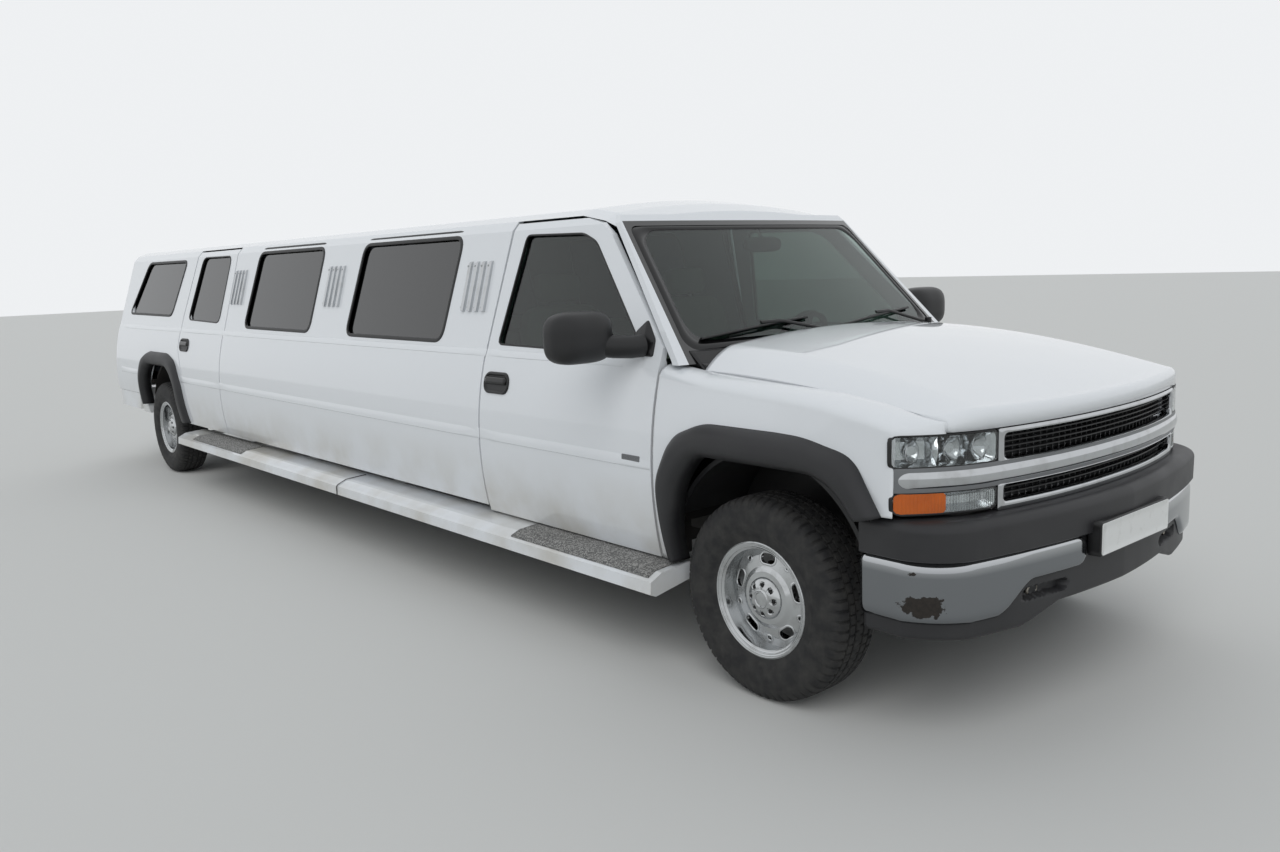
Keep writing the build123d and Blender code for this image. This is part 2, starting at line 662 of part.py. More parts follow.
with BuildPart() as stretch_panels:
    add(body_sides.part.solids().filter_by_position(Axis.X, X_REAR_DOOR, X_NOSE))
    for side in (-1, 1):
        add(hinge_arms(X_REAR_DOOR - HINGE_BACK, side, X_REAR_DOOR + 60))
        for z in HINGE_HEIGHTS:
            with Locations((X_REAR_DOOR + 55, side * (FLOOR_HALF + 40), z)):
                Box(30, 120, ARM_HEIGHT)

with BuildPart() as quarter_panels:
    add(body_sides.part.solids().filter_by_position(Axis.X, X_TAIL, X_REAR_DOOR))

# Roof: one section along the body, then three that drop it over the windshield
ROOF_INNER = 640
ROOF_STATIONS = (
    # x from the axle, seam half width, seam height, edge half width, edge height, crown
    (-1250, HALF_SEAM, Z_SEAM, HALF_ROOF, Z_ROOF_EDGE, Z_ROOF),
    (-1090, 734, 1827, 658, 1862, 1906),
    (-930, 744, 1770, 664, 1812, 1852),
)


def roof_section(x, seam, z_seam, edge, z_edge, crown):
    """The closed section of the roof: crowned above, flat under its two edges, crowned again inside."""
    with BuildSketch(Plane.YZ.offset(x)) as drawn:
        with BuildLine():
            Polyline((-ROOF_INNER, z_seam), (-seam, z_seam), (-edge, z_edge))
            ThreePointArc((-edge, z_edge), (0, crown), (edge, z_edge))
            Polyline((edge, z_edge), (seam, z_seam), (ROOF_INNER, z_seam))
            ThreePointArc((ROOF_INNER, z_seam), (0, crown - ROOF_THICK), (-ROOF_INNER, z_seam))
        make_face()
    return drawn.sketch


with BuildPart() as roof_panel:
    extrude(roof_section(X_TAIL, *ROOF_STATIONS[0][1:]), amount=X_FRONT + ROOF_STATIONS[0][0] - X_TAIL)
    ROOF_REAR_CUT = [
        (X_TAIL - 1, 1600), (TAIL_BELT[0] - 47, 1600), TAIL_TOP, (TAIL_TOP[0] + 110, Z_ROOF + 8), (X_TAIL - 1, Z_ROOF + 8)
    ]
    extrude(side_view(ROOF_REAR_CUT), amount=REACH, both=True, mode=Mode.SUBTRACT)
    loft([roof_section(X_FRONT + x, *rest) for x, *rest in ROOF_STATIONS], ruled=True)
    extrude(ahead_of_shield(), amount=1300, mode=Mode.SUBTRACT)

with BuildPart() as windshield_frame:
    extrude(shield_band(0, FRAME_DEPTH), amount=SHIELD_LENGTH + 240)
    extrude(whole_section(X_FRONT - 1300), amount=1200, mode=Mode.INTERSECT)
    extrude(side_view(shifted(FRONT_DOOR, GAP)), amount=REACH, both=True, mode=Mode.SUBTRACT)
    extrude(
        side_view([(X_FRONT - 1400, 1235), (X_FRONT - 200, 1235), (X_FRONT - 200, 1846), (X_FRONT - 1400, 1846)]),
        amount=REACH,
        both=True,
        mode=Mode.INTERSECT,
    )
    extrude(outline(Plane.YZ.offset(X_FRONT - 1400), SHIELD_GLASS, 45), amount=1400, mode=Mode.SUBTRACT)
    COWL_SIDE = [
        (X_DOOR - 20, Z_COWL),
        (X_FRONT - 370, Z_COWL),
        (X_FRONT - 370, 1230),
        (X_FRONT - 420, 1240),
        (X_DOOR - 20, 1240),
    ]
    extrude(side_view(COWL_SIDE), amount=FLOOR_HALF, both=True)
    for side in (-1, 1):
        with Locations((HOOD_HINGE_X, side * HOOD_EAR, (Z_COWL + HOOD_HINGE_Z + 12) / 2)):
            Box(26, 12, HOOD_HINGE_Z + 12 - Z_COWL)
        with Locations((HOOD_HINGE_X, side * HOOD_EAR, HOOD_HINGE_Z)):
            Cylinder(HOOD_PIN + RUNNING, 20, rotation=(90, 0, 0), mode=Mode.SUBTRACT)

with BuildPart() as windshield:
    extrude(shield_band(2, 2 + GLASS), amount=SHIELD_LENGTH + 240)
    extrude(outline(Plane.YZ.offset(X_FRONT - 1400), SHIELD_GLASS, 45), amount=1400, mode=Mode.INTERSECT)

# Side glass, set behind the outer skin and fitting its own opening
GLASS_DEPTH = 14
def pane(shape, corner, side):
    """One sheet of side glass, parallel to the upper body side and cut to its window's outline."""
    x_low = min(x for x, z in shape)
    x_high = max(x for x, z in shape)
    half_low = HALF_BELT - GLASS_DEPTH
    half_high = HALF_GUTTER - GLASS_DEPTH
    sheet = [
        (side * half_low, Z_BELT),
        (side * half_high, Z_GUTTER),
        (side * (half_high - GLASS), Z_GUTTER),
        (side * (half_low - GLASS), Z_BELT),
    ]
    with BuildPart() as made:
        extrude(outline(Plane.YZ.offset(x_low - 5), sheet), amount=x_high - x_low + 10)
        extrude(side_view(shape, corner), amount=REACH, both=True, mode=Mode.INTERSECT)
    return made.part


with BuildPart() as side_glass:
    for shape in (WINDOW_A, WINDOW_B, QUARTER_GLASS):
        add(pane(shape, WINDOW_RADIUS, 1))
    mirror(about=Plane.XZ)


def door(shape, glass, corner, x_front, side):
    """A whole door: the body side's section kept to the door's outline, with its window and hinge pockets cut."""
    x_low = min(x for x, z in shape)
    x_pin = x_front - HINGE_BACK
    pocket_back = x_pin - HINGE_BOSS - 5
    with BuildPart() as made:
        extrude(wall_section(side, x_low - 5), amount=x_front - x_low + 10)
        extrude(side_view(shape), amount=REACH, both=True, mode=Mode.INTERSECT)
        extrude(side_view(glass, corner), amount=REACH, both=True, mode=Mode.SUBTRACT)
        for z in HINGE_HEIGHTS:
            with Locations(((pocket_back + x_front + 5) / 2, side * (HINGE_HALF - 60 + HINGE_BOSS + 2), z)):
                Box(x_front + 5 - pocket_back, 120, POCKET_HEIGHT, mode=Mode.SUBTRACT)
            with Locations((x_pin, side * HINGE_HALF, z)):
                Cylinder(HINGE_PIN, POCKET_HEIGHT)
    return made


def mirror_piece(side):
    """A door mirror: a deep housing on a short arm from the door's front corner."""
    x_arm = X_FRONT - 700
    with BuildPart() as made:
        with Locations((x_arm, side * 985, 1268)):
            Box(110, 130, 50)
        with BuildSketch(Plane.XZ.offset(-side * 1035)) as housing:
            with Locations((X_FRONT - 740, 1345)):
                RectangleRounded(150, 205, 40)
        extrude(housing.sketch, amount=-side * 290)
        extrude(whole_section(x_arm - 400), amount=800, mode=Mode.SUBTRACT)
    return made


# Fenders and hood
LAMP_POCKET = (806, 1066)
FENDER_SIDE = [
    (X_DOOR + DOOR_GAP, Z_SILL),
    (X_DOOR + DOOR_GAP, 1240),
    (X_FRONT - 315, 1207),
    (X_FRONT + 56, 1187),
    (X_FRONT + 498, 1149),
    (X_FRONT + 640, 1116),
    (X_FRONT + 715, 1070),
    (X_FRONT + 715, 800),
    (X_FRONT + 470, 800),
    (X_FRONT + 440, Z_SILL),
]
HOOD_HALF = 860
HOOD_SECTIONS = (
    # x from the axle, seam half width, seam height, top half width, top height, centre height
    (-362, 855, 1212, 720, 1312, 1340),
    (250, 855, 1184, 712, 1246, 1272),
    (600, 855, 1134, 700, 1176, 1196),
    (760, 855, 1090, 690, 1112, 1138),
    (960, 855, 1078, 690, 1084, 1098),
)


def hood_loft(drop):
    """The hood's body as a ruled loft of its sections, lowered by a drop for the inner face."""
    with BuildPart() as made:
        for x, half, z_seam, half_top, z_top, z_mid in HOOD_SECTIONS:
            with BuildSketch(Plane.YZ.offset(X_FRONT + x)):
                with BuildLine():
                    Polyline((-half_top, z_top - drop), (-half, z_seam - drop), (-half, 1000 - drop))
                    Line((-half, 1000 - drop), (half, 1000 - drop))
                    Polyline((half, 1000 - drop), (half, z_seam - drop), (half_top, z_top - drop))
                    ThreePointArc((half_top, z_top - drop), (0, z_mid - drop), (-half_top, z_top - drop))
                make_face()
        loft(ruled=True)
    return made


HOOD_THICK = 24


def hood_front(z, setback):
    """The hood's outline in plan, with the rounded front end."""
    with BuildSketch(Plane.XY.offset(z)) as drawn:
        with BuildLine():
            for side in (-1, 1):
                Line((X_FRONT - 362, side * 852), (X_FRONT + 640, side * 852))
                ThreePointArc(
                    (X_FRONT + 640, side * 852),
                    (X_FRONT + 800 - setback, side * 810),
                    (X_FRONT + 868 - setback, side * 690),
                )
                ThreePointArc(
                    (X_FRONT + 868 - setback, side * 690),
                    (X_FRONT + 897 - setback, side * 350),
                    (X_FRONT + 905 - setback, 0),
                )
            Line((X_FRONT - 362, -852), (X_FRONT - 362, 852))
        make_face()
    return drawn.sketch


with BuildPart() as hood:
    add(hood_loft(0).part)
    add(hood_loft(HOOD_THICK).part, mode=Mode.SUBTRACT)
    extrude(hood_front(1076, 0), amount=500, mode=Mode.INTERSECT)
    for side in (-1, 1):
        with Locations((X_FRONT - 355, side * (HOOD_EAR + 15), HOOD_HINGE_Z)):
            Box(82, 12, 20)
        with Locations((HOOD_HINGE_X, side * (HOOD_EAR + 8), HOOD_HINGE_Z)):
            Cylinder(HOOD_PIN, 28, rotation=(90, 0, 0))

with BuildPart() as front_fenders:
    extrude(wall_section(1, X_DOOR), amount=X_FRONT + 910 - X_DOOR)
    with BuildSketch(Plane.XY.offset(300)):
        with BuildLine():
            Polyline((X_DOOR - 50, 861), (X_FRONT + 640, 861))
            ThreePointArc(
                (X_FRONT + 640, 861), (X_FRONT + 806, 818), (X_FRONT + 868, 712)
            )
            ThreePointArc((X_FRONT + 868, 712), (FRONT_TURN[0], FRONT_TURN[1]), FRONT_CORNER)
            Polyline(FRONT_CORNER, (X_FRONT + 480, 1010), (X_DOOR - 50, 1010), (X_DOOR - 50, 861))
        make_face()
    extrude(amount=1200, mode=Mode.INTERSECT)
    extrude(side_view(FENDER_SIDE), amount=REACH, both=True, mode=Mode.INTERSECT)
    extrude(side_view(FRONT_ARCH, 60), amount=REACH, both=True, mode=Mode.SUBTRACT)
    with BuildSketch(Plane.XY.offset(LAMP_POCKET[0])):
        with BuildLine():
            Polyline(
                (FRONT_CORNER[0], 1050),
                FRONT_CORNER,
                (FRONT_CORNER[0] - 28, FRONT_CORNER[1] - 70),
                (FRONT_CORNER[0] - 60, 500),
                (X_NOSE, 500),
                (X_NOSE, 1050),
                close=True,
            )
        make_face()
    extrude(amount=LAMP_POCKET[1] - LAMP_POCKET[0], mode=Mode.SUBTRACT)
    mirror(about=Plane.XZ)

# Grille, lamps and bars that follow the front end's plan curve
FRONT_BANDS = (
    # name, low, high, depth, inner half, outer half
    ("top_bar", 1050, 1069, 60, 0, 651),
    ("centre_bar", 880, 957, 60, 0, 975),
    ("low_bar", 806, 822, 60, 0, 651),
)
with BuildPart() as grille:
    for name, z_low, z_high, depth, half_in, half_out in FRONT_BANDS:
        extrude(front_plan(z_low, depth, half_in, half_out), amount=z_high - z_low)
    for y in (-640, 0, 640):
        with Locations((X_FRONT + 854, y, (PAD_TOP + 1069) / 2)):
            Box(16, 22, 1069 - PAD_TOP)

with BuildPart() as grille_mesh:
    for z_low, z_high, half in ((957, 1050, 629), (822, 880, 629)):
        with Locations((X_FRONT + 836, 0, (z_low + z_high) / 2)):
            Box(20, 2 * half, z_high - z_low)

with BuildPart() as headlamps:
    extrude(front_plan(957, 70, 655, 975), amount=1066 - 957)

with BuildPart() as turn_lamps:
    extrude(front_plan(806, 70, 655, 975), amount=880 - 806)

# Tail: liftgate with its glass over two side-hinged doors
TAIL_SKIN = 44
TAIL_BAND = [TAIL_TOP, TAIL_BELT, TAIL_LOW] + shifted([TAIL_LOW, TAIL_BELT, TAIL_TOP], TAIL_SKIN)
TAIL_OPENING = [(-775, 640), (775, 640), (775, 1250), (640, 1838), (-640, 1838), (-775, 1250)]
LIFTGATE_OUT = [(-775 + GAP, 1264), (775 - GAP, 1264), (632, 1828), (-632, 1828)]
LIFTGATE_WINDOW = [(-640, 1350), (640, 1350), (552, 1760), (-552, 1760)]
BARREL, BARREL_PIN, BARREL_LENGTH, EAR_LENGTH = 9, 4, 50, 16
GATE_HINGE_Z = 1833
GATE_HINGE_X = TAIL_TOP[0] - (TAIL_TOP[0] - TAIL_BELT[0]) * (TAIL_TOP[1] - GATE_HINGE_Z) / (TAIL_TOP[1] - TAIL_BELT[1]) - 10
GATE_HINGE_Y = 400
CARGO_HINGE_X = TAIL_LOW[0] - 9
CARGO_HINGE_Y = 771
CARGO_HINGE_HEIGHTS = (760, 1130)
with BuildPart() as tail_frame:
    extrude(whole_section(X_TAIL), amount=X_TAIL_FRAME - X_TAIL)
    TAIL_SIDE = [TAIL_TOP, TAIL_BELT, TAIL_LOW, (TAIL_LOW[0], 560), (X_TAIL_FRAME, 560), (X_TAIL_FRAME, TAIL_TOP[1])]
    extrude(side_view(TAIL_SIDE), amount=REACH, both=True, mode=Mode.INTERSECT)
    add(roof_panel.part, mode=Mode.SUBTRACT)
    extrude(outline(Plane.YZ.offset(X_TAIL - 100), TAIL_OPENING, 12), amount=400, mode=Mode.SUBTRACT)
    for side in (-1, 1):
        with Locations((X_TAIL, side * 1000, 560)):
            Box(800, 100, 2 * (REAR_BUMPER_Z[1] + 3 - 560), mode=Mode.SUBTRACT)
        for z in CARGO_HINGE_HEIGHTS:
            for end in (-1, 1):
                z_ear = z + end * (BARREL_LENGTH + EAR_LENGTH + 1) / 2
                with Locations((CARGO_HINGE_X, side * CARGO_HINGE_Y, z_ear)):
                    Cylinder(BARREL, EAR_LENGTH)
                with Locations((CARGO_HINGE_X + 9, side * (CARGO_HINGE_Y + 10), z_ear)):
                    Box(18, 20, EAR_LENGTH)
            with Locations((CARGO_HINGE_X, side * CARGO_HINGE_Y, z)):
                Cylinder(BARREL_PIN, BARREL_LENGTH + 2 * EAR_LENGTH)
        for end in (-1, 1):
            y_ear = side * GATE_HINGE_Y + end * (BARREL_LENGTH + EAR_LENGTH + 1) / 2
            with Locations((GATE_HINGE_X, y_ear, GATE_HINGE_Z)):
                Cylinder(BARREL, EAR_LENGTH, rotation=(90, 0, 0))
            with Locations((GATE_HINGE_X + 10, y_ear, GATE_HINGE_Z + 9)):
                Box(20, EAR_LENGTH, 18)
        with Locations((GATE_HINGE_X, side * GATE_HINGE_Y, GATE_HINGE_Z)):
            Cylinder(BARREL_PIN, BARREL_LENGTH + 2 * EAR_LENGTH, rotation=(90, 0, 0))

with BuildPart() as liftgate:
    extrude(outline(Plane.YZ.offset(X_TAIL - 50), LIFTGATE_OUT, 30), amount=500)
    extrude(side_view(TAIL_BAND), amount=REACH, both=True, mode=Mode.INTERSECT)
    extrude(outline(Plane.YZ.offset(X_TAIL - 50), LIFTGATE_WINDOW, 50), amount=500, mode=Mode.SUBTRACT)
    for side in (-1, 1):
        with Locations((GATE_HINGE_X, side * GATE_HINGE_Y, GATE_HINGE_Z)):
            Cylinder(BARREL, BARREL_LENGTH, rotation=(90, 0, 0))
        with Locations((GATE_HINGE_X + 10, side * GATE_HINGE_Y, GATE_HINGE_Z - 10)):
            Box(20, BARREL_LENGTH, 20)
        with Locations((GATE_HINGE_X, side * GATE_HINGE_Y, GATE_HINGE_Z)):
            Cylinder(BARREL_PIN + RUNNING, BARREL_LENGTH, rotation=(90, 0, 0), mode=Mode.SUBTRACT)

with BuildPart() as liftgate_glass:
    extrude(outline(Plane.YZ.offset(X_TAIL - 50), LIFTGATE_WINDOW, 50), amount=500)
    GATE_GLASS = shifted([TAIL_TOP, TAIL_BELT], 12) + shifted([TAIL_BELT, TAIL_TOP], 12 + GLASS)
    extrude(side_view(GATE_GLASS), amount=REACH, both=True, mode=Mode.INTERSECT)

with BuildPart() as cargo_door_left:
    extrude(
        outline(Plane.YZ.offset(X_TAIL - 50), [(GAP / 2, 650), (767, 650), (767, 1252), (GAP / 2, 1252)], 15),
        amount=500,
    )
    extrude(side_view(TAIL_BAND), amount=REACH, both=True, mode=Mode.INTERSECT)
    for z in CARGO_HINGE_HEIGHTS:
        with Locations((CARGO_HINGE_X, CARGO_HINGE_Y, z)):
            Cylinder(BARREL, BARREL_LENGTH)
        with Locations((CARGO_HINGE_X + 9, CARGO_HINGE_Y - 10, z)):
            Box(18, 20, BARREL_LENGTH)
        with Locations((CARGO_HINGE_X, CARGO_HINGE_Y, z)):
            Cylinder(BARREL_PIN + RUNNING, BARREL_LENGTH, mode=Mode.SUBTRACT)

with BuildPart() as cargo_door_right:
    add(mirror(cargo_door_left.part, about=Plane.XZ))

LAMP_FACE = [(TAIL_LOW[0] + 2, 900), (TAIL_LOW[0] + 5, 1225)]
with BuildPart() as tail_lamps:
    with BuildSketch(Plane.YZ.offset(X_TAIL)):
        with Locations((862, 1062)):
            RectangleRounded(110, 320, 18)
    extrude(amount=200)
    extrude(side_view(LAMP_FACE + shifted(LAMP_FACE, -16)[::-1]), amount=REACH, both=True, mode=Mode.INTERSECT)
    mirror(about=Plane.XZ)

# Flares, running boards and louvres
FLARE_OUT = 1038
def flare(shape, arch):
    """One wheel flare: a band round the arch, standing out from the body side."""
    with BuildPart() as made:
        extrude(outline(Plane.XZ.offset(-940), shape), amount=-(FLARE_OUT - 940))
        extrude(side_view(arch, 60), amount=REACH, both=True, mode=Mode.SUBTRACT)
        extrude(whole_section(X_TAIL - 100), amount=LENGTH + 200, mode=Mode.SUBTRACT)
    return made.part


with BuildPart() as wheel_flares:
    add(flare(FRONT_FLARE, FRONT_ARCH))
    add(flare(REAR_FLARE, REAR_ARCH))
    mirror(about=Plane.XZ)

BOARD_FRONT = X_FRONT - 425
BOARD_REAR = X_REAR + 760
with BuildPart() as running_boards:
    BOARD_SECTION = [(905, 440), (1060, 428), (1118, 400), (1122, 350), (1095, 338), (905, 372)]
    extrude(outline(Plane.YZ.offset(BOARD_REAR), BOARD_SECTION), amount=BOARD_FRONT - BOARD_REAR)
    for x in BOARD_BRACKETS:
        with Locations((x, FLOOR_HALF + 15, 415)):
            Box(60, 130, 30)
    mirror(about=Plane.XZ)

LOUVRE_GROUPS = ((X_FRONT - 5350, 1440), (X_FRONT - 3744, 1436), (X_FRONT - 2098, 1424))
LOUVRE_PITCH, LOUVRE_WIDTH, LOUVRE_HEIGHT = 62, 26, 250
with BuildPart() as louvre_bars:
    for x_low, z_low in LOUVRE_GROUPS:
        bars = [
            (x_low + LOUVRE_PITCH * i, z_low) for i in range(4)
        ]
        for x, z in bars:
            lean = (HALF_BELT - HALF_GUTTER) / (Z_GUTTER - Z_BELT)
            half_low = HALF_BELT - lean * (z - Z_BELT)
            half_high = HALF_BELT - lean * (z + LOUVRE_HEIGHT - Z_BELT)
            bar = [
                (half_low, z),
                (half_low + 14, z + 6),
                (half_high + 14, z + LOUVRE_HEIGHT - 6),
                (half_high, z + LOUVRE_HEIGHT),
            ]
            extrude(outline(Plane.YZ.offset(x), bar), amount=LOUVRE_WIDTH)
    mirror(about=Plane.XZ)

# Cabin
wheel_plane = Plane(origin=(X_FRONT - 975, 420, 1190), z_dir=(-0.9, 0, 0.42))
with BuildPart() as steering_wheel:
    with BuildSketch(wheel_plane.offset(-12)):
        Circle(195)
        Circle(168, mode=Mode.SUBTRACT)
        Circle(62)
        Rectangle(350, 34)
    extrude(amount=24)
    with BuildSketch(wheel_plane.offset(-12)):
        Circle(36)
    extrude(amount=-190)

with BuildPart() as dashboard:
    DASH_SIDE = [
        (X_DOOR - 20, 860),
        (X_DOOR - 20, Z_COWL - 4),
        (X_DOOR - 80, 1198),
        (X_DOOR - 250, 1225),
        (X_DOOR - 330, 1160),
        (X_DOOR - 300, 1020),
        (X_DOOR - 180, 860),
    ]
    extrude(side_view(DASH_SIDE, 12), amount=815, both=True)
    add(steering_wheel.part, mode=Mode.SUBTRACT)

SEAT_X = X_FRONT - 1500
with BuildPart() as front_seats:
    SEAT_SIDE = [
        (SEAT_X + 210, Z_FLOOR_TOP),
        (SEAT_X + 260, 860),
        (SEAT_X + 230, 930),
        (SEAT_X - 190, 900),
        (SEAT_X - 290, 1440),
        (SEAT_X - 390, 1440),
        (SEAT_X - 330, 860),
        (SEAT_X - 260, Z_FLOOR_TOP),
    ]
    extrude(outline(Plane.XZ.offset(-180), SEAT_SIDE), amount=-540)
    HEADREST = [
        (SEAT_X - 300, 1440),
        (SEAT_X - 310, 1600),
        (SEAT_X - 390, 1600),
        (SEAT_X - 385, 1440),
    ]
    extrude(outline(Plane.XZ.offset(-315), HEADREST), amount=-270)
    mirror(about=Plane.XZ)

with BuildPart() as saloon_seats:
    BENCH_SIDE = [
        (-1850, Z_FLOOR_TOP),
        (-1850, 1010),
        (-2320, 990),
        (-2380, 1500),
        (-2500, 1500),
        (-2470, 950),
        (-2470, Z_FLOOR_TOP),
    ]
    extrude(side_view(BENCH_SIDE), amount=780, both=True)
    COUCH = [
        (240, Z_FLOOR_TOP),
        (240, 1010),
        (640, 990),
        (690, 1180),
        (790, 1180),
        (790, Z_FLOOR_TOP),
    ]
    extrude(outline(Plane.YZ.offset(-1849), COUCH), amount=3000)

PIECES = {
    "chassis_frame": chassis_frame,
    "engine_block": engine_block,
    "driveline": driveline,
    "exhaust": exhaust,
    "fuel_tank": fuel_tank,
    "front_axle": front_axle,
    "knuckle_right": knuckle_right,
    "knuckle_left": knuckle_left,
    "rear_axle": rear_axle,
    "leaf_springs": leaf_springs,
    "floor_pan": floor_pan,
    "inner_fenders": inner_fenders,
    "stretch_panels": stretch_panels,
    "quarter_panels": quarter_panels,
    "roof_panel": roof_panel,
    "windshield_frame": windshield_frame,
    "windshield": windshield,
    "side_glass": side_glass,
    "front_fenders": front_fenders,
    "hood": hood,
    "grille": grille,
    "grille_mesh": grille_mesh,
    "headlamps": headlamps,
    "turn_lamps": turn_lamps,
    "bumper_pad": bumper_pad,
    "front_bumper": front_bumper,
    "air_dam": air_dam,
    "rear_bumper": rear_bumper,
    "tail_frame": tail_frame,
    "liftgate": liftgate,
    "liftgate_glass": liftgate_glass,
    "cargo_door_right": cargo_door_right,
    "cargo_door_left": cargo_door_left,
    "tail_lamps": tail_lamps,
    "wheel_flares": wheel_flares,
    "running_boards": running_boards,
    "louvre_bars": louvre_bars,
    "dashboard": dashboard,
    "front_seats": front_seats,
    "saloon_seats": saloon_seats,
    "steering_wheel": steering_wheel,
}
FRONT_CORNER_RADIUS, REAR_CORNER_RADIUS = 18, 50
for name, side in (("right", -1), ("left", 1)):
    PIECES[f"front_door_{name}"] = door(FRONT_DOOR, FRONT_DOOR_GLASS, FRONT_CORNER_RADIUS, X_DOOR, side)
    PIECES[f"rear_door_{name}"] = door(REAR_DOOR, REAR_DOOR_GLASS, REAR_CORNER_RADIUS, X_REAR_DOOR, side)
    PIECES[f"door_mirror_{name}"] = mirror_piece(side)
    with BuildPart() as PIECES[f"front_door_glass_{name}"]:
        add(pane(FRONT_DOOR_GLASS, FRONT_CORNER_RADIUS, side))
    with BuildPart() as PIECES[f"rear_door_glass_{name}"]:
        add(pane(REAR_DOOR_GLASS, REAR_CORNER_RADIUS, side))
for name, made in PIECES.items():
    made.part.label = name
    export_step(made.part, f"parts/{name}.step")
for place, x, side in WHEEL_PLACES:
    for kind, piece in (("tyre", tyre), ("wheel", rim)):
        with BuildPart() as fitted:
            add(placed(piece, x, side))
        fitted.part.label = f"{kind}_{place}"
        export_step(fitted.part, f"parts/{kind}_{place}.step")
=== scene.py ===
"""Looks of a white stretch limousine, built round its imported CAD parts. Lengths are metres."""
import math

import bmesh
import bpy
import numpy as np
from mathutils import Matrix, Vector


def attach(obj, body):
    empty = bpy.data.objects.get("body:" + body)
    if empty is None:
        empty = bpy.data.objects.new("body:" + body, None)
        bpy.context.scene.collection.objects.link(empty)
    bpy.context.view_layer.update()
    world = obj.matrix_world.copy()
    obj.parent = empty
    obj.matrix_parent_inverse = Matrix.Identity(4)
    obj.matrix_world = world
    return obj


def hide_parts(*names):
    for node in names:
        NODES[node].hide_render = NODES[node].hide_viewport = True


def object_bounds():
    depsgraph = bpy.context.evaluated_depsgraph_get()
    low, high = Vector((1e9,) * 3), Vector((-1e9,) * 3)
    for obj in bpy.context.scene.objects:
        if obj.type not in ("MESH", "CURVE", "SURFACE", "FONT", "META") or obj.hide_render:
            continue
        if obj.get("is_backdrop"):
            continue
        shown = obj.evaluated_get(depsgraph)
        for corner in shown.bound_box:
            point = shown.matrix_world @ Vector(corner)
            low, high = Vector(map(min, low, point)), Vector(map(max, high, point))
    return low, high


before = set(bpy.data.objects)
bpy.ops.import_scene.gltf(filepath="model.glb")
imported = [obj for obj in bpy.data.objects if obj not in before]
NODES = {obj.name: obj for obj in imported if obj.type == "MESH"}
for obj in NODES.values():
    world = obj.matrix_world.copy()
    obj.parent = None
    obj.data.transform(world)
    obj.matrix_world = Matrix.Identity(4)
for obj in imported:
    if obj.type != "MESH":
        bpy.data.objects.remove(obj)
cad_low, cad_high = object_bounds()

SIDES = (("right", -1), ("left", 1))

# Places that the pieces share, in metres, as in the part's source
X_FRONT = 3.613
X_REAR = -3.245
X_NOSE = 4.563
X_TAIL = -4.563
Y_WHEEL = 0.861
TYRE_RADIUS = 0.387
SILL_TO_SHOULDER = ((0.450, 0.958), (0.800, 1.000), (1.215, 0.940))
SHOULDER_TO_GUTTER = ((1.250, 0.925), (1.812, 0.768))
FRONT_CORNER, FRONT_TURN, FRONT_EDGE = (0.600, 0.975), (0.690, 0.875), (0.772, 0.700)
FRONT_MID, FRONT_TIP = (0.835, 0.350), (0.853, 0.0)


# Camera: fitted to both right-hand wheels and the body's edges
CAMERA_PLACE = (6.186, -3.7185, 1.635)
CAMERA_YAW, CAMERA_PITCH, CAMERA_ROLL = 2.4324, -0.1533, -0.0357
FOCAL_PIXELS = 1051.489
FRAME_WIDTH = 1280
SENSOR = 36


def aimed_camera():
    """A camera whose view turns by yaw about Z, by pitch above the horizon and by roll about its own axis."""
    level = math.cos(CAMERA_PITCH)
    ahead = Vector((level * math.cos(CAMERA_YAW), level * math.sin(CAMERA_YAW), math.sin(CAMERA_PITCH)))
    right = ahead.cross(Vector((0, 0, 1))).normalized()
    up = right.cross(ahead)
    right_rolled = right * math.cos(CAMERA_ROLL) + up * math.sin(CAMERA_ROLL)
    up_rolled = up * math.cos(CAMERA_ROLL) - right * math.sin(CAMERA_ROLL)
    data = bpy.data.cameras.new("camera")
    data.sensor_width = SENSOR
    data.lens = FOCAL_PIXELS / FRAME_WIDTH * SENSOR
    camera = bpy.data.objects.new("camera", data)
    turn = Matrix((right_rolled, up_rolled, -ahead)).transposed()
    camera.matrix_world = Matrix.Translation(CAMERA_PLACE) @ turn.to_4x4()
    bpy.context.scene.collection.objects.link(camera)
    bpy.context.scene.camera = camera


aimed_camera()


# Materials
ENAMEL_WHITE, CHROME_TONE = "#E4E7EA", "#C4C6C8"


def linear(hex_colour):
    """The linear colour of an sRGB hex value."""
    parts = [int(hex_colour[i : i + 2], 16) / 255 for i in (1, 3, 5)]
    return (*[p / 12.92 if p <= 0.04045 else ((p + 0.055) / 1.055) ** 2.4 for p in parts], 1.0)


def add(tree, kind, inputs=None, **settings):
    """Adds a node with its settings; each input, by name or number, takes a value, a node's output, or a node
    for its first output."""
    made = tree.nodes.new(kind)
    for name, value in settings.items():
        setattr(made, name, value)
    for socket, value in (inputs or {}).items():
        if isinstance(value, bpy.types.Node):
            value = value.outputs[0]
        if isinstance(value, bpy.types.NodeSocket):
            tree.links.new(value, made.inputs[socket])
        else:
            made.inputs[socket].default_value = value
    return made


def material(name, **values):
    """A new material: its tree, its Principled shader with these values, and its Object coordinates."""
    made = bpy.data.materials.new(name)
    made.use_nodes = True
    shader = made.node_tree.nodes["Principled BSDF"]
    for socket, value in values.items():
        shader.inputs[socket.replace("_", " ")].default_value = value
    place = made.node_tree.nodes.new("ShaderNodeTexCoord").outputs["Object"]
    return made, made.node_tree, shader, place


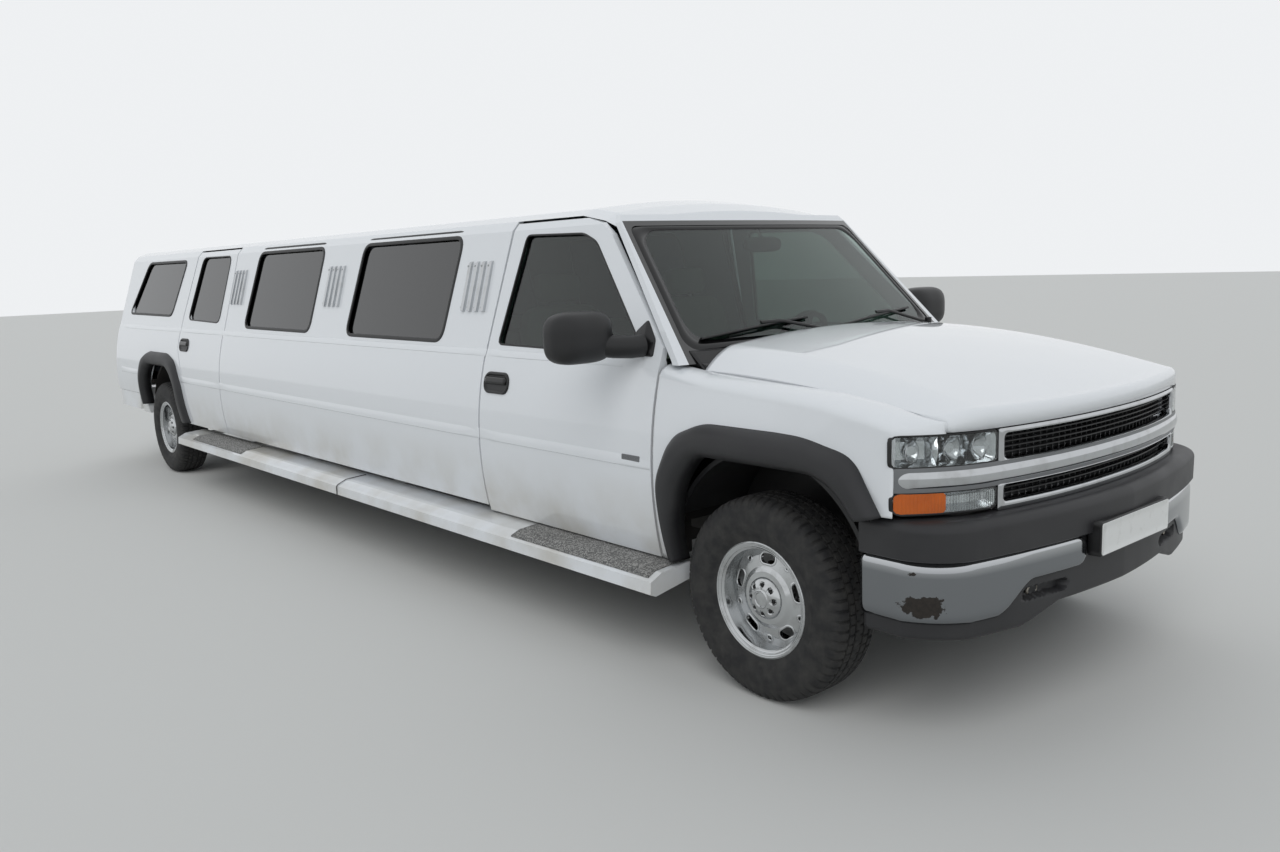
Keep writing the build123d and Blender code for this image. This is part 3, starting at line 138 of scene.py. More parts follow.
def clouded(tree, shader, place, noise, band, colours, most=1.0, rough=None):
    """Colours the base by soft clouds: noise is their scale and detail, band the values between which the
    first colour turns to the second, most the greatest share of the second, and rough the roughness under
    each colour."""
    cloud = add(tree, "ShaderNodeTexNoise", {"Vector": place, "Scale": noise[0], "Detail": noise[1]})
    limits = {"Value": cloud, "From Min": band[0], "From Max": band[1], "To Max": most}
    share = add(tree, "ShaderNodeMapRange", limits)
    ends = {0: share, 6: linear(colours[0]), 7: linear(colours[1])}
    tone = add(tree, "ShaderNodeMix", ends, data_type="RGBA")
    tree.links.new(tone.outputs[2], shader.inputs["Base Color"])
    if rough:
        dull = add(tree, "ShaderNodeMapRange", {"Value": share, "To Min": rough[0], "To Max": rough[1]})
        tree.links.new(dull.outputs[0], shader.inputs["Roughness"])


def grained(tree, shader, place, scale, strength, depth):
    """Gives the surface a fine grain of noise: its scale, its strength and its depth in metres."""
    grain = add(tree, "ShaderNodeTexNoise", {"Vector": place, "Scale": scale, "Detail": 2.0})
    lift = {"Strength": strength, "Distance": depth, "Height": grain}
    tree.links.new(add(tree, "ShaderNodeBump", lift).outputs[0], shader.inputs["Normal"])


def white_enamel():
    """White two-coat car enamel, sprayed and lacquered: glossy, orange peel of 4 mm, road dust low down."""
    made, tree, shader, place = material("white_enamel", Roughness=0.38, Coat_Weight=1.0, Coat_Roughness=0.03)
    height = add(tree, "ShaderNodeSeparateXYZ", {0: place}).outputs[2]
    low = add(tree, "ShaderNodeMapRange", {"Value": height, "From Min": 0.78, "From Max": 0.42})
    cloud = add(tree, "ShaderNodeTexNoise", {"Vector": place, "Scale": 3.2, "Detail": 7.0})
    patch = add(tree, "ShaderNodeMapRange", {"Value": cloud, "From Min": 0.38, "From Max": 0.78})
    dust = add(tree, "ShaderNodeMath", {0: low, 1: patch}, operation="MULTIPLY")
    ends = {0: dust, 6: linear(ENAMEL_WHITE), 7: linear("#BDB8AC")}
    colour = add(tree, "ShaderNodeMix", ends, data_type="RGBA")
    tree.links.new(colour.outputs[2], shader.inputs["Base Color"])
    grained(tree, shader, place, 240.0, 0.03, 0.0004)
    return made


def moulded_plastic(name, colour, worn, roughness):
    """Injection-moulded polypropylene: a cast grain of 1.5 mm, paler where sun and rain have dried it."""
    made, tree, shader, place = material(name)
    rough = (roughness, roughness + 0.14)
    clouded(tree, shader, place, (5.0, 6.0), (0.4, 0.8), (colour, worn), rough=rough)
    grained(tree, shader, place, 650.0, 0.25, 0.0003)
    return made


def metal(name, colour, roughness, dirt, dirty):
    """A bare or plated metal with a thin film of road dirt in patches, duller where the film lies."""
    made, tree, shader, place = material(name, Metallic=1.0)
    clouded(tree, shader, place, (16.0, 7.0), (0.5, 0.85), (colour, dirt), dirty, (roughness, 0.6))
    return made


# Peeled plating on the bumper's right corner: a torn patch and a small stain over it
PEEL_PLACE, PEEL_REACH = (X_FRONT + 0.690, -0.930, 0.515), 0.062
STAIN_PLACE, STAIN_REACH = (X_FRONT + 0.657, -0.947, 0.622), 0.016
TORN_SHAPE = (1.0, 1.0, 1.9)
# Heights between which the chrome's colour turns from a painted highlight at the top edge to a painted
# reflection of the dark ground lower down
PAINTED_HIGHLIGHT_Z, PAINTED_GROUND_REFLECTION_Z = 0.652, 0.610


def worn_chrome():
    """Chrome plate on steel, with a painted highlight along its top edge and a painted reflection of the dark
    ground below it, with the nickel torn off in one ragged patch down to dark rust."""
    made, tree, shader, place = material("worn_chrome_plate")
    ragged = {"Vector": place, "Scale": 34.0, "Detail": 8.0, "Roughness": 0.65}
    cloud = add(tree, "ShaderNodeTexNoise", ragged)
    gone = None
    for spot, reach in ((PEEL_PLACE, PEEL_REACH), (STAIN_PLACE, STAIN_REACH)):
        off = add(tree, "ShaderNodeVectorMath", {0: place, 1: spot}, operation="SUBTRACT")
        flat = add(tree, "ShaderNodeVectorMath", {0: off, 1: TORN_SHAPE}, operation="MULTIPLY")
        away = add(tree, "ShaderNodeVectorMath", {0: flat}, operation="LENGTH")
        near = add(tree, "ShaderNodeMapRange", {"Value": away.outputs["Value"], "From Max": 2 * reach})
        torn = add(tree, "ShaderNodeMath", {0: cloud, 1: near}, operation="SUBTRACT")
        limits = {"Value": torn, "From Min": -0.06, "From Max": -0.02}
        edge = add(tree, "ShaderNodeMapRange", limits)
        if gone is None:
            gone = edge
        else:
            gone = add(tree, "ShaderNodeMath", {0: gone, 1: edge}, operation="MAXIMUM")
    rust = add(tree, "ShaderNodeTexNoise", {"Vector": place, "Scale": 90.0, "Detail": 6.0})
    ends = {0: rust, 6: linear("#121110"), 7: linear("#38322D")}
    brown = add(tree, "ShaderNodeMix", ends, data_type="RGBA")
    # Painted reflection: the plate darkens from its top edge downwards, standing in for the dark ground that
    # chrome reflects
    height = add(tree, "ShaderNodeSeparateXYZ", {0: place}).outputs[2]
    limits = {"Value": height, "From Min": PAINTED_HIGHLIGHT_Z, "From Max": PAINTED_GROUND_REFLECTION_Z}
    dust_film_and_painted_reflection = add(tree, "ShaderNodeMapRange", limits)
    ends = {0: dust_film_and_painted_reflection, 6: linear(CHROME_TONE), 7: linear("#85888B")}
    plate = add(tree, "ShaderNodeMix", ends, data_type="RGBA")
    tone = add(tree, "ShaderNodeMix", {0: gone, 6: plate.outputs[2], 7: brown.outputs[2]}, data_type="RGBA")
    tree.links.new(tone.outputs[2], shader.inputs["Base Color"])
    bare = add(tree, "ShaderNodeMapRange", {"Value": gone, "To Min": 1.0, "To Max": 0.15})
    tree.links.new(bare.outputs[0], shader.inputs["Metallic"])
    dull = add(tree, "ShaderNodeMapRange", {"Value": gone, "To Min": 0.09, "To Max": 0.75})
    tree.links.new(dull.outputs[0], shader.inputs["Roughness"])
    lift = {"Strength": 0.5, "Distance": 0.0006, "Height": gone}
    tree.links.new(add(tree, "ShaderNodeBump", lift, invert=True).outputs[0], shader.inputs["Normal"])
    return made


def glass(name, colour, dust_film_and_painted_reflection, reach, ior=1.5):
    """Float glass, tinted in the melt, with a thin film of dust in large soft clouds."""
    made, tree, shader, place = material(name, Base_Color=linear(colour), Transmission_Weight=1.0, IOR=ior)
    cloud = add(tree, "ShaderNodeTexNoise", {"Vector": place, "Scale": reach, "Detail": 5.0})
    limits = {"Value": cloud, "From Min": 0.45, "From Max": 0.9, "To Max": dust_film_and_painted_reflection}
    tree.links.new(add(tree, "ShaderNodeMapRange", limits).outputs[0], shader.inputs["Roughness"])
    return made


def rubber(name, colour, dust, roughness, grain):
    """Vulcanised rubber, dull, with a film of grey dust and a skin grain under a millimetre."""
    made, tree, shader, place = material(name, Roughness=roughness)
    clouded(tree, shader, place, (24.0, 7.0), (0.35, 0.8), (colour, dust))
    grained(tree, shader, place, 900.0, grain, 0.0003)
    return made


def leather(name, colour, pit_shade):
    """Dyed cowhide, drum-tanned: a pebble grain of about 2 mm, with painted shade in the pits of its grain.
    """
    made, tree, shader, place = material(name, Roughness=0.5)
    cells = add(tree, "ShaderNodeTexVoronoi", {"Vector": place, "Scale": 480.0})
    # Painted shade: the colour darkens towards the middle of each grain cell, where the bump sinks into a pit
    tone = add(tree, "ShaderNodeMapRange", {"Value": cells, "From Max": 0.6})
    ends = {0: tone, 6: linear(pit_shade), 7: linear(colour)}
    tree.links.new(add(tree, "ShaderNodeMix", ends, data_type="RGBA").outputs[2], shader.inputs["Base Color"])
    lift = {"Strength": 0.3, "Distance": 0.0006, "Height": cells}
    tree.links.new(add(tree, "ShaderNodeBump", lift).outputs[0], shader.inputs["Normal"])
    return made


def lens(name, colour, hazed, clearness):
    """Moulded acrylic lens, tinted right through, hazed in soft patches by years of grit."""
    made, tree, shader, place = material(name, Transmission_Weight=clearness, IOR=1.49)
    clouded(tree, shader, place, (30.0, 4.0), (0.4, 0.9), (colour, hazed), rough=(0.02, 0.12))
    return made


def grip_mat():
    """Moulded rubber step mat with ground mineral grit: grey, speckled, with crumbs of about 4 mm."""
    made, tree, shader, place = material("grit_step_mat", Roughness=0.85)
    crumbs = add(tree, "ShaderNodeTexVoronoi", {"Vector": place, "Scale": 210.0})
    fleck = add(tree, "ShaderNodeSeparateColor", {0: crumbs.outputs["Color"]})
    pick = add(tree, "ShaderNodeMapRange", {"Value": fleck, "From Min": 0.35, "From Max": 0.75})
    ends = {0: pick, 6: linear("#5C5C5B"), 7: linear("#9C9B98")}
    tree.links.new(add(tree, "ShaderNodeMix", ends, data_type="RGBA").outputs[2], shader.inputs["Base Color"])
    lift = {"Strength": 0.7, "Distance": 0.001, "Height": crumbs}
    tree.links.new(add(tree, "ShaderNodeBump", lift).outputs[0], shader.inputs["Normal"])
    return made


def painted_tin(name, colour, scuffed):
    """Pressed sheet with reflective or painted film, clean, with faint scuffs a few centimetres long."""
    made, tree, shader, place = material(name, Roughness=0.35)
    clouded(tree, shader, place, (26.0, 6.0), (0.55, 0.9), (colour, scuffed))
    return made


# The windshield's edges in the frame's material: half width at its foot, the lean of its sides, and its top
SHIELD_HALF, SHIELD_FOOT, SHIELD_HEAD = 0.850, 1.285, 1.796
SHIELD_LEAN = (0.850 - 0.738) / (SHIELD_HEAD - SHIELD_FOOT)
SHIELD_BAND = 0.022


def shield_surround():
    """Pillars and header in white enamel, and the bonded black rubber round the windshield's edge: black
    where the place lies within the band outside the glass's leaning sides and its top."""
    made, tree, shader, place = material("enamel_and_rubber", Roughness=0.35, Coat_Weight=1.0)
    shader.inputs["Coat Roughness"].default_value = 0.05
    axes = add(tree, "ShaderNodeSeparateXYZ", {0: place})
    across = add(tree, "ShaderNodeMath", {0: axes.outputs[1]}, operation="ABSOLUTE")
    climb = add(tree, "ShaderNodeMath", {0: axes.outputs[2], 1: SHIELD_FOOT}, operation="SUBTRACT")
    terms = {0: climb, 1: SHIELD_LEAN, 2: across}
    lean = add(tree, "ShaderNodeMath", terms, operation="MULTIPLY_ADD")
    aside = add(tree, "ShaderNodeMath", {0: lean, 1: SHIELD_HALF}, operation="SUBTRACT")
    above = add(tree, "ShaderNodeMath", {0: axes.outputs[2], 1: SHIELD_HEAD}, operation="SUBTRACT")
    out = add(tree, "ShaderNodeMath", {0: aside, 1: above}, operation="MAXIMUM")
    white = add(tree, "ShaderNodeMath", {0: out, 1: SHIELD_BAND}, operation="GREATER_THAN")
    cloud = add(tree, "ShaderNodeTexNoise", {"Vector": place, "Scale": 9.0, "Detail": 5.0})
    ends = {0: cloud, 6: linear("#0E0E0F"), 7: linear("#1D1D1E")}
    dark = add(tree, "ShaderNodeMix", ends, data_type="RGBA")
    ends = {0: white, 6: dark.outputs[2], 7: linear(ENAMEL_WHITE)}
    tree.links.new(add(tree, "ShaderNodeMix", ends, data_type="RGBA").outputs[2], shader.inputs["Base Color"])
    return made


REVERSING_LOW, REVERSING_HIGH = 0.985, 1.065


def banded_lens():
    """Tail lamp lens, moulded in one, ribbed upright: red, with a clear reversing window across it."""
    made, tree, shader, place = material("banded_acrylic", Roughness=0.08, IOR=1.49)
    height = add(tree, "ShaderNodeSeparateXYZ", {0: place}).outputs[2]
    over = add(tree, "ShaderNodeMath", {0: height, 1: REVERSING_LOW}, operation="GREATER_THAN")
    under = add(tree, "ShaderNodeMath", {0: height, 1: REVERSING_HIGH}, operation="LESS_THAN")
    clear = add(tree, "ShaderNodeMath", {0: over, 1: under}, operation="MULTIPLY")
    ends = {0: clear, 6: linear("#8E1013"), 7: linear("#D8D9D6")}
    tree.links.new(add(tree, "ShaderNodeMix", ends, data_type="RGBA").outputs[2], shader.inputs["Base Color"])
    ribs = add(tree, "ShaderNodeTexWave", {"Vector": place, "Scale": 32.0}, bands_direction="Y")
    lift = {"Strength": 0.5, "Distance": 0.001, "Height": ribs.outputs[1]}
    tree.links.new(add(tree, "ShaderNodeBump", lift).outputs[0], shader.inputs["Normal"])
    return made


PAINT = white_enamel()
CHARCOAL = moulded_plastic("charcoal_moulding", "#232325", "#303031", 0.45)
BLACK = moulded_plastic("black_moulding", "#121213", "#1E1E1F", 0.4)
GREY_BEZEL = moulded_plastic("grey_bezel_moulding", "#6A6C6E", "#77797A", 0.3)
GLOSS_BLACK = moulded_plastic("gloss_black_moulding", "#0C0C0D", "#141415", 0.12)
CHASSIS = moulded_plastic("chassis_enamel", "#1B1A19", "#2E2A26", 0.6)
CHROME = metal("chrome_plate", CHROME_TONE, 0.06, "#7C7970", 0.35)
BUMPER_CHROME = worn_chrome()
BRIGHT_REFLECTOR = metal("vacuum_aluminium", "#D4D6D8", 0.12, "#A8AAAA", 0.3)
ALUMINIUM = metal("polished_aluminium", "#C6C8C9", 0.16, "#6F6C66", 0.55)
CAST_IRON = metal("cast_iron", "#4A4540", 0.6, "#3A2C22", 0.8)
STEEL = metal("aluminised_steel", "#8C8880", 0.35, "#5A4632", 0.6)
NUT_STEEL = metal("blackened_steel", "#3A3A3A", 0.4, "#1E1C1A", 0.7)
SILVERED = metal("silvered_glass", "#D8DCDE", 0.02, "#C2C6C8", 0.1)
WINDSHIELD = glass("laminated_glass", "#7E918A", 0.012, 3.0)
DOOR_GLASS = glass("green_tinted_glass", "#6C7C75", 0.010, 4.0)
DARK_GLASS = glass("dark_tinted_glass", "#15171A", 0.015, 4.0, 1.8)
TYRE = rubber("tyre_rubber", "#202021", "#3A3937", 0.78, 0.3)
SEAL = rubber("seal_rubber", "#0F0F10", "#1D1D1D", 0.45, 0.15)
# The second colour of each leather is the painted shade in its grain's pits
GREY_LEATHER = leather("grey_leather", "#A9ABA0", "#85877C")
BLACK_LEATHER = leather("black_leather", "#262628", "#161617")
CLEAR_LENS = lens("clear_acrylic", "#F2F5F5", "#DFE3E2", 1.0)
AMBER_LENS = lens("amber_acrylic", "#E0701C", "#D0661C", 0.35)
GRIT_MAT = grip_mat()
PLATE_TIN = painted_tin("plate_tin", "#E4E5E3", "#C9C9C6")
SURROUND = shield_surround()
TAIL_LENS = banded_lens()

FINISHES = {
    "chassis_frame": CHASSIS, "engine_block": CAST_IRON, "driveline": STEEL, "exhaust": STEEL,
    "fuel_tank": BLACK, "front_axle": CHASSIS, "rear_axle": CHASSIS, "leaf_springs": CHASSIS,
    "floor_pan": CHASSIS, "inner_fenders": BLACK, "windshield_frame": SURROUND, "windshield": WINDSHIELD,
    "side_glass": DARK_GLASS, "grille": CHROME, "grille_mesh": BLACK, "headlamps": CLEAR_LENS,
    "turn_lamps": AMBER_LENS, "bumper_pad": CHARCOAL, "front_bumper": BUMPER_CHROME, "air_dam": CHARCOAL,
    "tail_lamps": TAIL_LENS, "wheel_flares": CHARCOAL, "louvre_bars": CHROME, "dashboard": BLACK,
    "front_seats": GREY_LEATHER, "saloon_seats": BLACK_LEATHER, "steering_wheel": BLACK,
    "liftgate_glass": DARK_GLASS,
}
for name, side in SIDES:
    FINISHES[f"front_door_glass_{name}"] = DOOR_GLASS
    FINISHES[f"rear_door_glass_{name}"] = DARK_GLASS
    FINISHES[f"door_mirror_{name}"] = BLACK
    FINISHES[f"knuckle_{name}"] = CAST_IRON
    for end in ("front", "rear"):
        FINISHES[f"tyre_{end}_{name}"] = TYRE
        FINISHES[f"wheel_{end}_{name}"] = ALUMINIUM
for name, node in NODES.items():
    node.data.materials.clear()
    node.data.materials.append(FINISHES.get(name, PAINT))


# Shapes: arrays of points and the meshes made from them
def arc(start, through, end, count=24):
    """Points, evenly by angle, on the circle through three points, centred where the bisectors cross."""
    a, b, c = complex(*start), complex(*through), complex(*end)
    w = (c - a) / (b - a)
    centre = (b - a) * (w - abs(w) ** 2) / (2j * w.imag) + a
    turn = np.angle((c - centre) / (a - centre)) % (2 * math.pi)
    turn = turn if w.imag > 0 else turn - 2 * math.pi
    line = centre + (a - centre) * np.exp(1j * np.linspace(0, turn, count))
    return np.stack((line.real, line.imag), axis=1)


SKIN = np.concatenate((arc(*SILL_TO_SHOULDER, 48), SHOULDER_TO_GUTTER))
PLAN = np.concatenate((arc(FRONT_CORNER, FRONT_TURN, FRONT_EDGE), arc(FRONT_EDGE, FRONT_MID, FRONT_TIP)[1:]))
PLAN = PLAN[::-1]


def points(x, y, z):
    """Points from their three coordinates, each an array or a number, spread to one shape."""
    return np.stack(np.broadcast_arrays(x, y, z), axis=-1)


def wall(x, z, side, out=0.0):
    """Points on a side wall, whose half width follows the body's section by height, plus a distance out."""
    return points(x, side * (np.interp(z, SKIN[:, 0], SKIN[:, 1]) + out), z)


def nose(y, z, out=0.0):
    """Points on the front end's plan curve at a place across and a height, stood out by a distance."""
    reach = np.interp(np.abs(y), PLAN[:, 1], PLAN[:, 0])
    return points(X_FRONT + reach + out, y, z)


def rounded(corners, radius, count=8):
    """A closed outline whose corners are cut back by a length and rounded by a parabola between the cuts."""
    at = np.asarray(corners, dtype=float)
    before, after = np.roll(at, 1, axis=0) - at, np.roll(at, -1, axis=0) - at
    first = at + before * radius / np.linalg.norm(before, axis=1, keepdims=True)
    last = at + after * radius / np.linalg.norm(after, axis=1, keepdims=True)
    t = np.linspace(0, 1, count)[None, :, None]
    curve = (1 - t) ** 2 * first[:, None] + 2 * t * (1 - t) * at[:, None] + t**2 * last[:, None]
    return curve.reshape(-1, 2)


def spaced(outline, step, closed=True, count=None):
    """An outline's points set evenly along its length, about a step apart or to a count."""
    line = np.concatenate((outline, outline[:1])) if closed else np.asarray(outline, dtype=float)
    run = np.concatenate(((0.0,), np.cumsum(np.linalg.norm(np.diff(line, axis=0), axis=1))))
    at = np.linspace(0, run[-1], count or max(8, int(run[-1] / step)), endpoint=not closed)
    return np.stack([np.interp(at, run, line[:, k]) for k in range(line.shape[1])], axis=1)


def joined(bends, count):
    """A closed outline of bends, with a count of points along the straight side from each to the next."""
    t = np.linspace(0, 1, count + 2)[None, 1:-1, None]
    sides = bends[:, -1:] * (1 - t) + np.roll(bends[:, :1], -1, axis=0) * t
    return np.concatenate((bends, sides), axis=1).reshape(-1, 2)


def box_outline(width, height, radius, per_corner=6, per_side=10):
    """A rounded rectangle about the origin: four quarter circles joined by straight sides."""
    angles = np.linspace(0, math.pi / 2, per_corner)[None, :] + np.arange(4)[:, None] * math.pi / 2
    centres = np.array(((1, 1), (-1, 1), (-1, -1), (1, -1))) * (width / 2 - radius, height / 2 - radius)
    bends = centres[:, None] + radius * np.stack((np.cos(angles), np.sin(angles)), axis=2)
    return joined(bends, per_side)


def stepped(size, radius, steps):
    """Rounded rectangles one inside the next, from pairs of an inset and a stand: places across and up from
    the middle, and how far each rectangle stands out."""
    insets, stands = np.array(steps).T
    drawn = [box_outline(size[0] - 2 * d, size[1] - 2 * d, max(radius - d, 0.0004)) for d in insets]
    rings = np.stack(drawn)
    return rings[..., 0], rings[..., 1], stands[:, None]


def carried(path, normals, profile, closed=True):
    """A profile carried along a path: its first number goes across the path, its second along the normals."""
    along = np.roll(path, -1, axis=0) - np.roll(path, 1, axis=0)
    if not closed:
        along[0], along[-1] = path[1] - path[0], path[-1] - path[-2]
    normals = np.broadcast_to(normals, path.shape)
    across = np.cross(normals, along)
    across /= np.linalg.norm(across, axis=1, keepdims=True)
    shape = np.asarray(profile)
    return path[:, None] + shape[None, :, :1] * across[:, None] + shape[None, :, 1:] * normals[:, None]


def circle(count):
    """A count of angles, evenly round a circle."""
    return np.linspace(0, 2 * math.pi, count, endpoint=False)


def rod(path, facing, half, half_facing=None, count=10):
    """A rod: an ellipse carried along a path, by its half widths across and along the way it faces."""
    turn = circle(count)
    oval = np.stack((half * np.cos(turn), (half_facing or half) * np.sin(turn)), axis=1)
    return carried(path, facing, oval, closed=False), False, True


def turned(profile, place, side, count=48):
    """A profile of radius and outward distance turned round a wheel's axle line through a place."""
    angle = circle(count)[:, None]
    shape = np.asarray(profile)[None]
    x = place[0] + shape[..., 0] * np.cos(angle)
    z = place[2] + shape[..., 0] * np.sin(angle)
    return points(x, place[1] + side * shape[..., 1], z)


def slabs(centres, halves):
    """Many small blocks at once, each given by its centre and its half sizes, as grids four points round."""
    ring = np.array(((-1, -1), (1, -1), (1, 1), (-1, 1)))
    unit = points(np.array((-1, 1))[:, None], ring[None, :, 0], ring[None, :, 1])
    return np.asarray(centres)[:, None, None] + unit[None] * np.asarray(halves)


def piece(name, grids, finish, body, angle=35.0, wall_depth=0.0, face=None):
    """One object from grids of points: (points, rows closed, columns closed). Open row ends of a tube are
    capped, doubles merged, and faces turned outwards; a wall depth makes a thin sheet solid, to both sides,
    or only behind its face where the direction it faces is given."""
    vertices, faces, count = [], [], 0
    for grid, rows_closed, columns_closed in grids:
        rows, columns = grid.shape[:2]
        r, c = np.meshgrid(
            np.arange(rows if rows_closed else rows - 1),
            np.arange(columns if columns_closed else columns - 1),
            indexing="ij",
        )
        r, c = r.ravel(), c.ravel()
        below, beside = (r + 1) % rows, (c + 1) % columns
        quads = (r * columns + c, below * columns + c, below * columns + beside, r * columns + beside)
        faces.extend((count + np.stack(quads, axis=1)).tolist())
        if columns_closed and not rows_closed and not wall_depth:
            faces.append(list(range(count, count + columns)))
            faces.append(list(range(count + (rows - 1) * columns, count + rows * columns)))
        vertices.append(grid.reshape(-1, 3))
        count += rows * columns
    mesh = bpy.data.meshes.new(name)
    mesh.from_pydata(np.concatenate(vertices).tolist(), [], faces)
    shape = bmesh.new()
    shape.from_mesh(mesh)
    bmesh.ops.remove_doubles(shape, verts=shape.verts, dist=2e-5)
    bmesh.ops.recalc_face_normals(shape, faces=shape.faces)
    if face and sum(f.calc_area() * f.normal.dot(Vector(face)) for f in shape.faces) < 0:
        bmesh.ops.reverse_faces(shape, faces=shape.faces)
    shape.to_mesh(mesh)
    shape.free()
    mesh.polygons.foreach_set("use_smooth", [True] * len(mesh.polygons))
    mesh.set_sharp_from_angle(angle=math.radians(angle))
    mesh.materials.append(finish)
    made = bpy.data.objects.new(name, mesh)
    bpy.context.scene.collection.objects.link(made)
    if wall_depth:
        thick = made.modifiers.new("sheet", "SOLIDIFY")
        thick.thickness = wall_depth
        thick.offset = -1.0 if face else 0.0
    if body:
        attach(made, body)
    return made


# Tyres: the section from the tread's middle to the bead, as half width and radius
TREAD_STEPS = 64 * 8
HALF_SECTION = np.array(
    (
        (0.000, 0.3870), (0.008, 0.3870), (0.016, 0.3870), (0.018, 0.3868), (0.0195, 0.3868),
        (0.0255, 0.3868), (0.027, 0.3868), (0.034, 0.3868), (0.043, 0.3866), (0.051, 0.3864),
        (0.0525, 0.3864), (0.0585, 0.3862), (0.060, 0.3862), (0.068, 0.3856), (0.078, 0.3838),
        (0.088, 0.3806), (0.096, 0.3762), (0.103, 0.3695), (0.108, 0.3610), (0.1125, 0.3500),
        (0.1155, 0.3440), (0.1160, 0.3420), (0.1195, 0.3270), (0.1225, 0.3060), (0.1218, 0.2900),
        (0.1190, 0.2740), (0.1175, 0.2700), (0.1178, 0.2675), (0.1130, 0.2520), (0.1055, 0.2360),
        (0.0995, 0.2250), (0.0950, 0.2120), (0.0880, 0.2036),
    )
)
GROOVE_COLUMNS = (4, 5, 10, 11)
GROOVE_DEPTH, LUG_DEPTH, SIPE_DEPTH = 0.0085, 0.0075, 0.006


def tyre_grid(place, side):
    """Round the axle: the section's radius less what grooves, shoulder notches and cross cuts take away."""
    columns = len(HALF_SECTION)
    step = np.arange(TREAD_STEPS)[:, None]
    across = np.arange(columns)[None, :]
    cut = np.where(np.isin(across, GROOVE_COLUMNS), GROOVE_DEPTH, 0.0)
    notch = np.isin(step % 8, (0, 1)) & (across >= 12) & (across <= 19)
    cut = np.maximum(cut, np.where(notch, LUG_DEPTH * np.interp(across, (12, 17, 19), (1, 1, 0.35)), 0.0))
    rib = (step % 8 == 4) & (across >= 6) & (across <= 9)
    cut = np.maximum(cut, np.where(rib, SIPE_DEPTH, 0.0))
    middle = (step % 8 == 6) & (across >= 1) & (across <= 3)
    cut = np.maximum(cut, np.where(middle, SIPE_DEPTH, 0.0))
    radius = HALF_SECTION[None, :, 1] - cut
    shifted = np.roll(radius, 4, axis=0)
    radius = np.concatenate((radius[:, ::-1], shifted[:, 1:]), axis=1)
    out = np.concatenate((HALF_SECTION[::-1, 0], -HALF_SECTION[1:, 0]))[None, :]
    angle = 2 * math.pi * step / TREAD_STEPS
    x = place[0] + radius * np.cos(angle)
    return points(x, place[1] + side * out, place[2] + radius * np.sin(angle))


# Wheel trim: how far the disc's face stands out at each radius, the ring of slots and holes, and the hub cap
DISC_RADII = (0.0, 0.046, 0.062, 0.100, 0.118, 0.160, 0.195)
DISC_OUT = (0.086, 0.086, 0.066, 0.062, 0.052, 0.044, 0.030)
SLOT_RING, SLOT_LENGTH, SLOT_WIDTH = 0.148, 0.076, 0.044
HOLE_RING, HOLE_RADIUS = 0.160, 0.012
CAP_RADII = (0, 0.008, 0.018, 0.0245, 0.026, 0.0275, 0.032, 0.0335, 0.036, 0.041,
             0.046, 0.050, 0.054, 0.058, 0.062, 0.067, 0.072, 0.076, 0.079, 0.081)
CAP_OUT = (0.0915, 0.0915, 0.0912, 0.0905, 0.0925, 0.0945, 0.0945, 0.0915, 0.0900, 0.0895,
           0.0888, 0.0875, 0.0858, 0.0838, 0.0815, 0.0785, 0.0755, 0.0720, 0.0680, 0.0620)
NUT_RING, NUT_COUNT, NUT_RECESS, NUT_DEPTH = 0.055, 8, 0.0125, 0.0065
VALVE_RING, VALVE_ANGLE = 0.186, 18
BEAD = [(-0.0045, -0.001), (-0.004, 0.0015), (-0.0015, 0.003),
        (0.0015, 0.003), (0.004, 0.0015), (0.0045, -0.001)]
LIP_RINGS = ((0.2165, 0.0985), (0.2040, 0.0935), (0.1945, 0.0860))


def ring_on_disc(outline, place, side):
    """A bright bead round an opening in the disc: the outline, given on the disc, lifted to its face."""
    out = np.interp(np.hypot(outline[:, 0], outline[:, 1]), DISC_RADII, DISC_OUT)
    path = points(place[0] + outline[:, 0], place[1] + side * out, place[2] + outline[:, 1])
    return carried(path, (0.0, side, 0.0), BEAD), True, True


def wheel_trim(place, side):
    """One wheel's bright trim: hub cap with nut recesses, beads round the openings, stepped lip rings."""
    angle = circle(192)[:, None]
    radius, out = np.array(CAP_RADII)[None], np.array(CAP_OUT)[None]
    near = (angle * NUT_COUNT / (2 * math.pi) + 0.5) % 1.0 - 0.5
    off = np.hypot(radius - NUT_RING, near * 2 * math.pi / NUT_COUNT * NUT_RING)
    out = out - NUT_DEPTH * np.clip((NUT_RECESS - off) / 0.003, 0, 1)
    x = place[0] + radius * np.cos(angle)
    cap = points(x, place[1] + side * out, place[2] + radius * np.sin(angle))
    grids = [(cap, True, False)]
    oval = box_outline(SLOT_LENGTH, SLOT_WIDTH, SLOT_WIDTH / 2 - 0.0005, per_corner=8, per_side=3)
    turn = circle(20)
    round_hole = HOLE_RADIUS * np.stack((np.cos(turn), np.sin(turn)), axis=1)
    for k in range(5):
        for outline, ring, start in ((oval, SLOT_RING, 90), (round_hole, HOLE_RING, 126)):
            at = math.radians(start + 72 * k)
            outward = np.array((math.cos(at), math.sin(at)))
            tangent = np.array((-math.sin(at), math.cos(at)))
            spot = outward * (ring + outline[:, 1:]) + tangent * outline[:, :1]
            grids.append(ring_on_disc(spot, place, side))
    bead = np.array(BEAD)
    for ring, stand in LIP_RINGS:
        grids.append((turned(bead * (0.8, 1.0) + (ring, stand), place, side, 96), True, True))
    return grids


